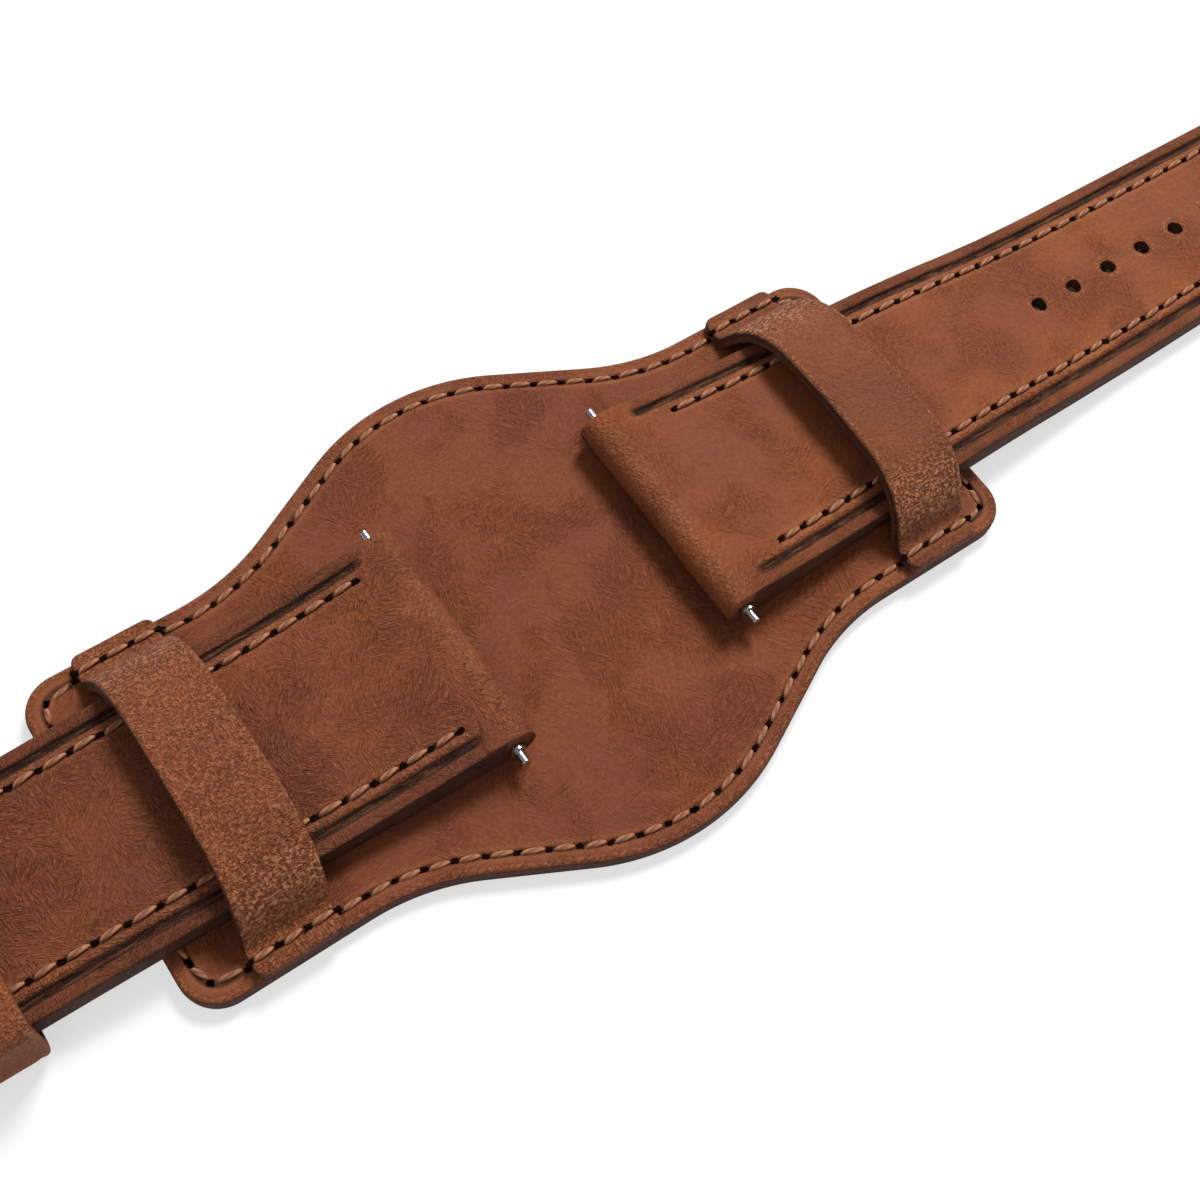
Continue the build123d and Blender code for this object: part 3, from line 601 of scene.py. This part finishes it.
def seam_runs():
    """All runs of the pad's seam: each a list of holes, and whether it is on a bridge's foot."""
    runs = []
    for way in (-1, 1):
        for low, high in ((buckle_foot[1], 0.0), (0.0, tip_foot[0]), tip_foot, buckle_foot):
            runs.append((run_holes(low, high, way), (low, high) in (tip_foot, buckle_foot)))
        bend = np.array([seam_end - bend_cut, way * (seam_side - bend_cut)])
        down = np.array([seam_end, way * (seam_side - bend_drop)])
        for x_way, start in ((1, tip_foot[1] + foot_gap), (-1, -buckle_foot[0] + foot_gap)):
            for run in ([(start, way * seam_side), bend], [bend, down]):
                runs.append((np.array(run) * (x_way, 1), False))
    end_reach = seam_side - bend_drop
    for x in (-seam_end, seam_end):
        runs.append((even_holes(np.array([(x, -end_reach), (x, end_reach)])), False))
    return runs


def dents(x, y, holes, depth, width):
    """The leather is pulled in round each needle hole: the deepest bell of all holes near a point."""
    total = np.zeros_like(x)
    for hole_x, hole_y in holes:
        near = (np.abs(x - hole_x) < 4 * width) & (np.abs(y - hole_y) < 4 * width)
        total[near] = np.maximum(total[near], bell(np.hypot(x[near] - hole_x, y[near] - hole_y), width))
    return depth * total


pad_runs = seam_runs()
flat_holes = np.concatenate([holes for holes, on_foot in pad_runs if not on_foot])
print("holes round the pad:", sum(len(holes) for holes, _ in pad_runs))

# %% [markdown]
# The pad is two leathers sewn together: the grain side above and a smoother lining below.
# The face is a plate whose height drops at the rounded edge and dips along the seam and round its holes.
# Under the strap's halves the seam lies deeper, so that they slide over it freely.

# %% The pad
seam_gap = np.abs(pad_inset - pad_seam)
under_strap = (np.abs(X) > seam_end - 1.0) * (np.abs(Y) < 12.5)
pad_face = (pad_top - rounding(pad_inset, 0.42) - (0.13 + 0.2 * under_strap) * bell(seam_gap, 0.3)
            - dents(X, Y, flat_holes, 0.16, 0.42) + (ripple(X, Y, 0.1, 3) - 0.05) * ease(pad_inset, 2.0, 6.0))
wall_dark = np.clip(1.15 - pad_inset / 0.16, 0, 1)
# The wear and highlight mark is a pale line on the rounded edge: partly rubbed leather, partly painted highlight on
# the rounding.
pad_marks = {"edge": (wall_dark * 0.75, 1), "wear_and_highlight": (0.3 * bell(pad_inset - 0.35, 0.28), 0),
             "seam": (seam_gap, no_seam)}
pad_piece = plate("pad_face", X, Y, pad_face, np.full_like(X, lining_top), pad_marks, pad_leather)
belongs(pad_piece, "pad", "pad_top")

lining_shrink = 0.9988
under_face = rounding(pad_inset, 0.3) + 0.4 * bell(seam_gap, 0.36)
under_piece = plate("pad_underside", X * lining_shrink, Y * lining_shrink, np.full_like(X, lining_top - 0.004),
                    under_face, {"edge": (1, wall_dark), "seam": (no_seam, seam_gap)}, lining_leather)
belongs(under_piece, "pad", "pad_lining")


# %% [markdown]
# A stitch is a short piece of twisted thread that rises out of one hole and dives into the next.
# One stitch is modelled once, as a small tube with two plies wound round each other.
# numpy then lays the same shape along every stitch of a seam, so hundreds cost no more code than one.
# Each is a little longer, shorter or more slanted than its neighbours, as in hand sewing.

# %% Stitches
def stitch_shape():
    """One stitch along X from -1/2 to 1/2: offsets along, across and up, and where its plies stand out.

    The plies are a cosine of twice the angle round the thread, turned along it. The thread thins near its holes,
    and it drops with the fifth power of the distance from its middle.
    """
    stations = np.array([-0.5, -0.42, -0.3, -0.15, 0, 0.15, 0.3, 0.42, 0.5])
    angle = np.linspace(0, 2 * pi, 8, endpoint=False)
    t, a = np.meshgrid(stations, angle, indexing="ij")
    ply = 0.5 + 0.5 * np.cos(2 * a + 2.2 * pi * t)
    girth = (0.13 + 0.12 * ease(0.5 - np.abs(t), 0.02, 0.2)) * (0.84 + 0.24 * ply)
    rise = 0.16 - 0.5 * (2 * np.abs(t)) ** 5
    return t, girth * np.cos(a) * 1.05, rise + girth * np.sin(a) * 0.9, ply


def spread(vectors, factor):
    """Each stitch's vector times each point's factor."""
    return vectors[:, None, None, :] * factor[None, :, :, None]


def sew(name, body, node, stitches, slant=0.13):
    """Lays stitches, given as two hole points and the leather's up there, as one piece of thread."""
    t, across, up, ply = stitch_shape()
    a, b, normal = (np.array(part, float) for part in zip(*stitches))
    uneven = np.random.default_rng(len(stitches)).uniform(-1, 1, (5, len(stitches), 1))
    along = (b - a) * (1 + 0.1 * uneven[0])
    forward = along / np.linalg.norm(along, axis=1, keepdims=True)
    sideways = np.cross(normal, forward)
    sideways /= np.linalg.norm(sideways, axis=1, keepdims=True)
    above = np.cross(forward, sideways)
    middle = (a + b) / 2 + forward * 0.09 * uneven[1] + sideways * 0.05 * uneven[2]
    along = along + sideways * 0.16 * uneven[3]
    points = (middle[:, None, None, :] + spread(along * 0.8, t) + spread(sideways, across + slant * 2 * t)
              + spread(above, up))
    count, stations, ring = points.shape[:3]
    index = np.arange(stations * ring).reshape(stations, ring)
    around = np.roll(index, -1, axis=1)
    tube = np.stack([index[:-1], around[:-1], around[1:], index[1:]], -1).reshape(-1, 4)
    first_points = (np.arange(count) * stations * ring)[:, None, None]
    faces = [(part[None] + first_points).reshape(-1, part.shape[1]).tolist()
             for part in (tube, np.stack([index[0][::-1], index[-1]]))]
    # The ply share goes to the thread's finish, which paints it as highlight and shade.
    marks = {"ply_highlight": np.broadcast_to(ply, (count,) + ply.shape)}
    piece = write_mesh(name, points.reshape(-1, 3), faces[0] + faces[1], marks, thread, pi)
    belongs(piece, body, node)


# %% [markdown]
# A needle leaves a small ragged hole, and the thread doesn't quite fill it.
# A dark patch with an uneven rim paints the shade inside such a hole, at far less cost than cutting hundreds of real
# holes.

# %% Needle holes
def pierce(name, body, places, seed, size=0.34):
    """Needle holes painted as shade: small dark ragged patches, each a point, its normal and the seam's direction.
    """
    random = np.random.default_rng(seed)
    point, normal, forward = (np.array(part, float) for part in zip(*places))
    forward = forward / np.linalg.norm(forward, axis=1, keepdims=True)
    sideways = np.cross(normal, forward)
    count, corners = len(point), 11
    angle = np.linspace(0, 2 * pi, corners, endpoint=False)[None, :] + random.uniform(0, 1, (count, 1))
    radius = size * random.uniform(0.55, 1.15, (count, corners))
    radius[:, ::3] *= random.uniform(1.0, 1.7, (count, len(range(0, corners, 3))))
    rim = (point[:, None] + forward[:, None] * (radius * np.cos(angle) * 1.25)[..., None]
           + sideways[:, None] * (radius * np.sin(angle) * 0.85)[..., None] + normal[:, None] * 0.02)
    points = np.concatenate([rim, rim - normal[:, None] * 0.3], axis=1)
    faces = []
    for start in range(0, count * corners * 2, corners * 2):
        faces += post_faces(start, corners)
    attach(write_mesh(name, points.reshape(-1, 3), faces, {}, needle_hole_shade), body)


def post_faces(start, corners):
    """The faces of a closed post: its rim's points come first, then as many below them."""
    ring = list(range(start, start + corners))
    low = [k + corners for k in ring]
    walls = [[ring[k], low[k], low[(k + 1) % corners], ring[(k + 1) % corners]] for k in range(corners)]
    return [ring, low[::-1]] + walls


# %% [markdown]
# The pad's seam is sewn through both leathers, so each stitch above has one below, between the same two holes.
# The stitches below lie sunk in the lining's channel, and the pad still rests flat.

# %% Sewing the pad
up = np.array([0.0, 0.0, 1.0])
under_stitch_z = 0.44
top_stitches, pad_holes = [], []
for holes, on_foot in pad_runs:
    height = foot_top - 0.02 if on_foot else pad_top - 0.14
    at = [np.array([x, y, height - 0.2 * (abs(x) > seam_end - 0.1 and abs(y) < 12)]) for x, y in holes]
    top_stitches += [(a, b, up) for a, b in zip(at, at[1:])]
    pad_holes += [(point, up, (at[-1] - at[0])) for point in at]
under_stitches = [([*b[:2], under_stitch_z], [*a[:2], under_stitch_z], -up) for a, b, _ in top_stitches]
sew("pad_thread", "pad", "pad_stitching", top_stitches)
sew("pad_under_thread", "pad", None, under_stitches, 0.08)
pierce("pad_needle_holes", "pad", pad_holes, 5)
print("stitches on the pad:", len(top_stitches))


# %% [markdown]
# A bridge is a strip of two leathers whose feet are sewn to the pad, and it arches over the strap.
# Its section turns up at the foot, climbs a short wall and bends over a broad shoulder to the crown.
# The section is found from its slope alone: adding up short steps along the slope gives the curve.

# %% Bridges
bridge_half = 4.0
bridge_lean = 1.2
inner_high, outer_low, outer_high = 0.44, 0.45, 1.15


def bridge_path():
    """Half of the bridge's inner line, from the pad's edge to the crown: length, y, z and slope.

    Each part is a length, and the slope in degrees at its two ends: foot, turn up, wall and shoulder.
    """
    parts = [(2.1, 0, 0), (1.95 * radians(60), 0, 60), (1.2, 60, 60), (7.8 * radians(57), 60, 3)]
    step = 0.05
    slopes = np.concatenate([np.linspace(a, b, max(int(length / step), 2)) for length, a, b in parts])
    slopes = np.concatenate([slopes, np.linspace(3, 0, 400)])
    eased = np.radians(np.convolve(np.pad(slopes, 8, mode="edge"), np.ones(17) / 17, mode="valid"))
    y = pad_width / 2 - np.concatenate([[0], np.cumsum(np.cos(eased[:-1]) * step)])
    z = pad_top + np.concatenate([[0], np.cumsum(np.sin(eased[:-1]) * step)])
    keep = y >= 0
    return np.arange(len(y))[keep] * step, y[keep], z[keep], eased[keep]


def both_sides(part, way=1):
    """A quantity along half of the bridge, carried on over the crown to its other foot."""
    return np.concatenate([part, way * part[::-1]])


def bridge(name, x_low, low, high, material, node, seed, rough=0.0):
    """One ply of a bridge between two depths out from its inner line, rounded at its outer edges."""
    top_ply = high > 1
    length, *half_line = bridge_path()
    s = np.concatenate([np.linspace(0, 0.6, 9)[:-1], np.arange(0.6, length[-1], 0.2)])
    y, z, slope = (np.interp(s, length, part)[:, None] for part in half_line)
    thick = high - low
    W, S, D = band_grid(both_sides(s), bridge_half, thick, 0.36 if top_ply else 0.08, 34, 5)
    outer = D > thick * 0.5
    seam = np.abs(S - pad_seam)
    if top_ply:
        D -= outer * np.minimum(rounding(S, 0.25) + 0.12 * bell(seam, 0.3), D * 0.8)
    D += outer * ripple(W * 2.0, S, 0.05, seed)
    D += low
    narrow = 1 - rounding(S, 0.9) / bridge_half
    rise = both_sides(z) - pad_top
    loops = np.stack([x_low + bridge_half + W * narrow + bridge_lean * rise / rise.max(),
                      both_sides(y, -1) + both_sides(np.sin(slope), -1) * D,
                      both_sides(z) + both_sides(np.cos(slope)) * D], -1)
    bend = rough + (1 - rough) * bell(S - 7.3, 2.7)
    rim = np.abs(np.abs(W) - bridge_half) < 0.06
    # On the outer face the wear mark pebbles the shoulder's bend; a pale line just inside each rim is partly worn
    # edge and partly painted highlight.
    marks = {"edge": np.where(outer & ~rim, 0.0, 1.0) * (0.85 if top_ply else 0.6),
             "wear_and_highlight": np.where(outer, np.maximum(0.95 * bend, 0.5 * bell(bridge_half - 0.34 - np.abs(W), 0.16)), 0.0),
             "seam": np.where(outer, seam, no_seam)}
    belongs(strip(name, loops, False, marks, material), "pad", node)


for side_name, foot, rough in (("tip", tip_foot, 0.06), ("buckle", buckle_foot, 0.4)):
    bridge(f"{side_name}_bridge_leather", foot[0], outer_low, outer_high, bridge_leathers[side_name],
           f"{side_name}_bridge_top", 11, rough)
    bridge(f"{side_name}_bridge_inner_leather", foot[0], 0.0, inner_high, lining_leather,
           f"{side_name}_bridge_lining", 12)


# %% [markdown]
# Each half of the strap is a padded centre between two low rails, with a dark groove beside each rail.
# At the lug end the leather folds round the spring bar in a half circle.
# Both halves are the same kind of thing with other sizes, so one class holds the sizes and the shared curves.

# %% The sizes of a half
strap_floor = 2.2
lug_radius = 2.1
strap_seam = 3.1
lining = 0.9
inner_start = 12.0
hole_count = 8
hole_pitch = 5.0
hole_from_tip = 25.8


def level(corners, distance):
    """Height of a line through corners: each a distance, a height and how far its bend reaches.

    A bend is a parabola that takes over from one straight run to the next.
    """
    (start, height, _), (end, far, _) = corners[:2]
    slope = (far - height) / (end - start)
    line = height + slope * (distance - start)
    for (start, low, bend), (end, high, _) in zip(corners[1:], corners[2:]):
        change = (high - low) / (end - start) - slope
        slope += change
        past = distance - start
        line = line + change * np.where(np.abs(past) < bend, (past + bend) ** 2 / (4 * bend),
                                        np.where(past > 0, past, 0))
    return line


class Half:
    """One half of the strap: its plan, its underside and top along its length, its seam and its lining's end."""

    def __init__(self, name, way, bar_x, length, widths, droop, floor, thin, seam, lining_end, tip_round=0,
                 loop=0):
        self.name, self.way, self.bar_x, self.length, self.widths = name, way, bar_x, length, widths
        self.seam, self.lining_end, self.tip_round, self.loop = seam, lining_end, tip_round, loop
        wide = (droop[1] - droop[0]) / 2
        self.under = [(0, strap_floor, 0), (droop[0], strap_floor, wide), (droop[1], floor, wide),
                      (length, floor, 0)]
        self.upper = [(0, strap_floor + 4.2, 0), (3.2, strap_floor + 4.2, 3.0), (12.5, strap_floor + 3.1, 6.0),
                      (droop[0], strap_floor + 3.1, wide), (droop[1], floor + thin, wide),
                      (length, floor + thin, 0)]

    def half(self, distance, inset):
        """Half the width at a distance from the bar, for the outline moved in; an ellipse rounds the tip."""
        wide = np.interp(distance, [d for d, _ in self.widths], [w / 2 for _, w in self.widths]) - inset
        if not self.tip_round:
            return wide
        start = self.length - self.tip_round
        past = np.clip((distance - start) / (self.tip_round - inset), 0, 1)
        return np.where(distance > self.length - inset + 1e-9, -1.0,
                        np.where(distance > start, wide * np.sqrt(1 - past ** 2), wide))

    def until_lining_end(self, low, high):
        """1 along the half, and falling to 0 between two places near the end of a looped half's lining."""
        if not self.loop:
            return 1.0
        return 1 - ease(self.d, self.lining_end + low, self.lining_end + high)

    def at(self, distance):
        """Distances from the bar as places along the strap."""
        return self.way * (self.bar_x + distance)


tip_half = Half("tip_strap", 1, 14.6, 108.0, [(0, 23.4), (108 * 0.44, 20.3), (96, 18.4)], (32.5, 49.0), 0.3, 2.8,
                seam=(6.4, 108.0), lining_end=108.0, tip_round=12.0)
buckle_half = Half("buckle_strap", -1, 10.4, 75.0, [(0, 23.4), (75, 19.8)], (36.6, 48.0), 1.7, 3.1,
                   seam=(3.6, 65.0), lining_end=65.0, loop=1.55)
print("halves", tip_half.length, "mm and", buckle_half.length, "mm long")

# %% [markdown]
# A half's grid has lines across at each distance and lines along at each inset.
# The lines along follow the rails and grooves, so their edges stay sharp with few faces.
# The seam keeps one inset all the way, also round the tip, and its holes are spread evenly along it.

# %% The grid and the seam of a half
side_lines = [0, 0.03, 0.09, 0.18, 0.3, 0.55, 0.85, 1.08, 1.18, 1.26, 1.38, 1.55, 1.72, 1.86, 1.96, 2.06, 2.18, 2.35,
              2.55, 2.72, 2.85, 2.95, 3.03, 3.1, 3.17, 3.25, 3.35, 3.48, 3.65, 3.9, 4.3, 5.0, 6.0, 7.2, 7.9, 8.15,
              8.4, 8.65, 8.9, 9.12]


def seam_paths(half):
    """The seam's line in distance and offset, from the bar on one side, round the tip, and back."""
    start, end = half.seam
    fine = np.arange(start, min(end, half.length - half.tip_round) + 0.01, 0.1)
    far = np.stack([fine, half.half(fine, strap_seam)], -1)
    if not half.tip_round:
        return [far, far * (1, -1)]
    deep, wide = half.tip_round - strap_seam, far[-1, 1]
    angle = np.linspace(0, pi, 160)[1:-1]
    around_tip = np.stack([far[-1, 0] + deep * np.sin(angle), wide * np.cos(angle)], -1)
    return [np.concatenate([far, around_tip, (far * (1, -1))[::-1]])]


def lay_out(half):
    """Gives a half its grid: distance d, offset y, inset, the needle holes and the distance from the seam."""
    ends = [-lug_radius * np.cos(np.linspace(0, pi / 2, 16)), [inner_start - 0.02, inner_start]]
    if half.loop:
        ends += [half.length + half.loop * np.sin(np.linspace(0, pi / 2, 12)),
                 [half.lining_end, half.lining_end + 0.02]]
    if half.tip_round:
        ends.append(half.length - np.array(edge_lines[:12]))
    ends += [np.arange(0.32, half.length, 0.32), [half.length]]
    distance = np.unique(np.round(np.concatenate(ends), 4))
    main = np.minimum(distance, half.length - half.tip_round)[:, None]
    share = half.half(main, np.array(side_lines)[None, :]) / half.half(main, 0.0)
    side = half.half(distance[:, None], 0.0) * share
    half.y = np.concatenate([-side, np.zeros((len(distance), 1)), side[:, ::-1]], axis=1)
    half.d = np.repeat(distance[:, None], half.y.shape[1], axis=1)
    half.inset = inset_at(half.half, half.d, half.y, 9.5)
    half.holes = [even_holes(path) for path in seam_paths(half)]
    start, end = half.seam
    sewn = ease(half.d, start - 0.9, start - 0.3) * half.until_lining_end(0.3, 0.9)
    half.seam_gap = np.where(sewn > 0.5, np.abs(half.inset - strap_seam), no_seam)
    print(half.name, "grid", half.d.shape, "and", sum(len(run) for run in half.holes), "needle holes")


lay_out(tip_half)
lay_out(buckle_half)

# %% [markdown]
# The top leather is one plate from the fold to the tip or the loop.
# Its height is a sum: the half's own line, less the rail and groove, less the rounded edge, plus a padded crown,
# less the seam, the dents and the soft rims of the punched holes.
# At the bar, and at the pin in the buckle's loop, both sides of the plate run into a half circle.

# %% The top leather
groove_profile = ([0, 1.12, 1.22, 1.36, 1.6, 1.8, 1.95, 2.08, 2.3, 2.7, 3.6],
                  [0.28, 0.3, 0.4, 0.7, 0.78, 0.74, 0.6, 0.3, 0.12, 0.02, 0.0])
edge_round = 0.32


def hole_distance(half):
    """How far each point is outside the rim of the nearest punched hole."""
    gap = np.full_like(half.d, 9.0)
    for number in range(hole_count if half.tip_round else 0):
        gap = np.minimum(gap, np.hypot(half.d - (half.length - hole_from_tip - hole_pitch * number), half.y) - 0.85)
    return gap


def top_heights(half, grooved, hole_rim):
    """The face of the top leather, before the fold and the loop are bent."""
    d, y, inset = half.d, half.y, half.inset
    wide = half.half(np.minimum(d, half.length - 4), 0.0)
    crown = 0.32 * (1 - np.clip((wide - inset) / wide, 0, 1) ** 2) - 0.12
    return (level(half.upper, np.clip(d, 0, half.length)) - np.interp(inset, *groove_profile) * grooved
            - rounding(inset, edge_round) + crown * ease(inset, 2.0, 4.0) * ease(d, 0.5, 7.0)
            - 0.12 * bell(half.seam_gap, 0.28) - dents(d, y, np.concatenate(half.holes), 0.14, 0.4)
            + ripple(d, y, 0.07, 21) * ease(inset, 3.4, 6.0) - 0.2 * bell(hole_rim, 0.3))


def strap_top(half, material):
    """The top leather of one half, from its fold round the bar to its tip or its loop round the pin."""
    d, inset = half.d, half.inset
    hole_rim = hole_distance(half)
    grooved = ease(d, 1.9, 3.3) * half.until_lining_end(-1.0, 0.0)
    face = top_heights(half, grooved, hole_rim)
    bottom = level(half.under, np.clip(d, 0, half.length))
    floor_z = np.where(d < inner_start - 0.01, bottom, bottom + lining)
    folds = [(d < 0, lug_radius, strap_floor + lug_radius, d)]
    if half.loop:
        floor_z = np.where(d > half.lining_end + 0.01, bottom, floor_z)
        folds.append((d > half.length, half.loop, half.under[-1][1] + half.loop, d - half.length))
    for turned, radius, middle_z, past in folds:
        curve = np.sqrt(np.maximum(radius ** 2 - past ** 2, 0))
        face = np.where(turned, middle_z + curve - rounding(inset, edge_round) * curve / radius, face)
        floor_z = np.where(turned, middle_z - curve, floor_z)
    # The groove mark darkens the groove's bed, and the rail a little: darker pressed leather with painted shade.
    groove_bed = ease(inset, 1.1, 1.26) * (1 - ease(inset, 1.98, 2.14))
    rail = 1 - ease(inset, 1.98, 2.2)
    # Worn and lit: the fold's nose is paler, partly stretched leather and partly painted highlight; a painted
    # highlight runs along the centre's rounded step beside the groove; and a paler ring lies round each punched
    # hole.
    worn_and_lit = bell(d + 0.7, 1.3) * 0.22 + 0.35 * bell(inset - 2.3, 0.25) * grooved + 0.45 * bell(hole_rim - 0.3, 0.2)
    marks = {"edge": (np.clip(1.1 - inset / 0.12, 0, 1) * 0.85 * (d > 0.8), 0.8), "wear_and_highlight": (worn_and_lit, 0),
             "groove": (grooved * (groove_bed * 0.7 + 0.3 * rail), 0), "seam": (half.seam_gap, no_seam)}
    piece = plate(f"{half.name}_leather", half.at(d), half.y, np.maximum(face, floor_z), floor_z, marks, material)
    belongs(piece, half.name, f"{half.name}_top")
    return piece


# %% [markdown]
# The lining is a thinner, smoother leather glued underneath. It starts where the fold ends.
# The halves are sewn through both leathers, and the stitches below lie in a channel of the lining.

# %% The lining and the seam of a half
lining_shrink_across = 0.9985
under_stitch_lift = 0.36


def strap_lining(half):
    """The lining of one half: a plate whose lower face is rounded at its edge and dips along the seam."""
    last = half.lining_end + 0.001 if half.loop else half.length
    keep = (half.d[:, 0] >= inner_start - 0.01) & (half.d[:, 0] <= last)
    d, inset, seam_gap = half.d[keep], half.inset[keep], half.seam_gap[keep]
    bottom = level(half.under, np.clip(d, 0, half.length))
    face = bottom + rounding(inset, 0.22) + 0.34 * bell(seam_gap, 0.36)
    marks = {"edge": (1, np.clip(1.1 - inset / 0.12, 0, 1)), "seam": (no_seam, seam_gap)}
    piece = plate(f"{half.name}_inner_leather", half.at(d), half.y[keep] * lining_shrink_across,
                  bottom + lining - 0.006, face, marks, lining_leather)
    belongs(piece, half.name, f"{half.name}_lining")
    return piece


def strap_sewing(half):
    """The stitches above and below, and the needle holes between them, all leaning with the strap's slope."""
    over, under, pierced = [], [], []
    for run in half.holes:
        d = run[:, 0]
        high = np.stack([half.at(d), run[:, 1], level(half.upper, d) + 0.01], -1)
        slope = (level(half.upper, d + 0.5) - level(half.upper, d - 0.5)) * half.way
        normal = np.stack([-slope, np.zeros_like(slope), np.ones_like(slope)], -1)
        normal /= np.linalg.norm(normal, axis=1, keepdims=True)
        deep = np.column_stack([high[:, :2], level(half.under, d) + under_stitch_lift])
        last = len(run) - 1
        over += [(high[k], high[k + 1], normal[k]) for k in range(last)]
        under += [(deep[k + 1], deep[k], -up) for k in range(last)]
        pierced += [(high[k] - normal[k] * 0.03, normal[k], high[min(k + 1, last)] - high[max(k - 1, 0)])
                    for k in range(last + 1)]
    sew(f"{half.name}_thread", half.name, f"{half.name}_stitching", over)
    sew(f"{half.name}_under_thread", half.name, None, under, 0.08)
    pierce(f"{half.name}_needle_holes", half.name, pierced, 9)


# %% [markdown]
# With the steps written once, each half is three calls. The half with the holes is smoother and warmer,
# and the buckle half is more wrinkled, as in the photograph.

# %% The two halves
leathers_to_cut = {}
for half, material in ((tip_half, tip_leather), (buckle_half, buckle_leather)):
    leathers_to_cut[half.name] = [strap_top(half, material), strap_lining(half)]
    strap_sewing(half)


# %% [markdown]
# The adjustment holes are punched right through both leathers, and the tang's slot through the loop.
# A Boolean modifier cuts them out, because a plate's grid can't leave a round hole open.
# The cutter is slightly uneven, as a worn punch leaves the leather.

# %% Punched holes and the tang's slot
def punched(piece, cutter_points, cutter_faces):
    """Cuts a closed shape out of a piece and keeps the result as its mesh."""
    marks = {"edge": np.ones(len(cutter_points)), "seam": np.full(len(cutter_points), no_seam)}
    cutter = write_mesh("cutter", cutter_points, cutter_faces, marks, piece.data.materials[0])
    cut = piece.modifiers.new("cut", "BOOLEAN")
    cut.operation = "DIFFERENCE"
    cut.solver = "EXACT"
    cut.object = cutter
    result = bpy.data.meshes.new_from_object(piece.evaluated_get(bpy.context.evaluated_depsgraph_get()))
    piece.modifiers.clear()
    piece.data = result
    close_up(piece)
    smooth(result, sharp_angle)
    bpy.data.objects.remove(cutter)
    print(piece.name, len(result.polygons), "faces after the cut")


def punch_shape():
    """One post per hole, counted back from the tip: nearly a circle, with two weak waves round it."""
    random = np.random.default_rng(17)
    corners = 28
    angle = np.linspace(0, 2 * pi, corners, endpoint=False)
    points, faces = [], []
    for number in range(hole_count):
        centre = tip_half.bar_x + tip_half.length - hole_from_tip - hole_pitch * number
        starts = random.uniform(0, 6), random.uniform(0, 6)
        uneven = 1 + 0.035 * np.sin(2 * angle + starts[0]) + 0.03 * np.sin(3 * angle + starts[1])
        ring = np.stack([centre + 0.86 * uneven * np.cos(angle), 0.82 * uneven * np.sin(angle)], -1)
        points += [np.column_stack([ring, np.full(corners, z)]) for z in (12.0, -3.0)]
        faces += post_faces(2 * corners * number, corners)
    return np.concatenate(points), faces


posts = punch_shape()
for piece in leathers_to_cut["tip_strap"]:
    punched(piece, *posts)
slot_x, slot_half, slot_z = (-95.0, -80.4), 1.6, (-4.0, 14.0)
slot_corners = [(slot_x[0], -slot_half), (slot_x[1], -slot_half), (slot_x[1], slot_half), (slot_x[0], slot_half)]
slot_points = np.array([(x, y, z) for z in slot_z[::-1] for x, y in slot_corners])
punched(leathers_to_cut["buckle_strap"][0], slot_points, post_faces(0, 4))


# %% [markdown]
# A keeper is a loop of leather round the strap: one is fixed near the buckle and one slides.
# It is a strip carried round a rounded box, with soft rolled rims.

# %% Keepers
keeper_thick = 1.2
keeper_half = 3.25
keeper_top = 8.0
keeper_side_gap = 0.7
keeper_bend = 0.7
keeper_strap_floor = 1.7


def rounded_box(half_w, low, high, bend):
    """A box with rounded corners seen along the strap: its points and outward normals, all the way round."""
    corners = [(half_w - bend, high - bend, 0), (-half_w + bend, high - bend, 90),
               (-half_w + bend, low + bend, 180), (half_w - bend, low + bend, 270)]
    path, normals = [], []
    for k, (y, z, start) in enumerate(corners):
        angle = np.radians(start + np.linspace(0, 90, 10))
        outward = np.stack([np.cos(angle), np.sin(angle)], -1)
        path.append(np.stack([y, z]) + bend * outward)
        ahead_y, ahead_z, ahead = corners[(k + 1) % 4]
        end = np.array([ahead_y + bend * cos(radians(ahead)), ahead_z + bend * sin(radians(ahead))])
        share = np.linspace(0, 1, 50 if k in (0, 2) else 16)[1:-1, None]
        path.append(path[-1][-1] * (1 - share) + end * share)
        normals += [outward, np.repeat(outward[-1:], len(share), axis=0)]
    return np.concatenate(path), np.concatenate(normals)


def keeper(name, body, near_d, low_gap, seed):
    """One loop of leather round the buckle half, at a distance from the bar and with a gap below the strap."""
    half_w = float(buckle_half.half(np.array([near_d]), 0.0)[0]) + keeper_side_gap
    path, normals = rounded_box(half_w, keeper_strap_floor - low_gap, keeper_top, keeper_bend)
    W, S, D = band_grid(lengths(path), keeper_half, keeper_thick, 0.42, 26, 6)
    outer = D > keeper_thick / 2
    D += outer * (ripple(W * 1.5, S, 0.06, seed) - 0.07 * bell(np.abs(W) - 2.35, 0.22))
    loops = np.stack([buckle_half.at(near_d + keeper_half) + W, path[:, :1] + normals[:, :1] * D,
                      path[:, 1:] + normals[:, 1:] * D], -1)
    bent = np.convolve(np.tile(np.abs(normals[:, 0] * normals[:, 1]) * 2, 3), np.hanning(21) / 10, "same")
    bent = bent[len(path):2 * len(path), None]
    marks = {"edge": np.where(outer, 0.0, 0.75), "seam": np.full_like(W, no_seam),
             "wear_and_highlight": np.where(outer, np.clip(0.75 * bent + 0.3 * bell(np.abs(W) - 3.0, 0.3), 0, 1), 0.0)}
    belongs(strip(f"{name}_leather", loops, True, marks, bridge_leathers["buckle"]), body, name)


keeper("free_keeper", "free_keeper", 43.9, 0.2, 31)
keeper("fixed_keeper", "buckle_strap", 60.5, 0.03, 32)
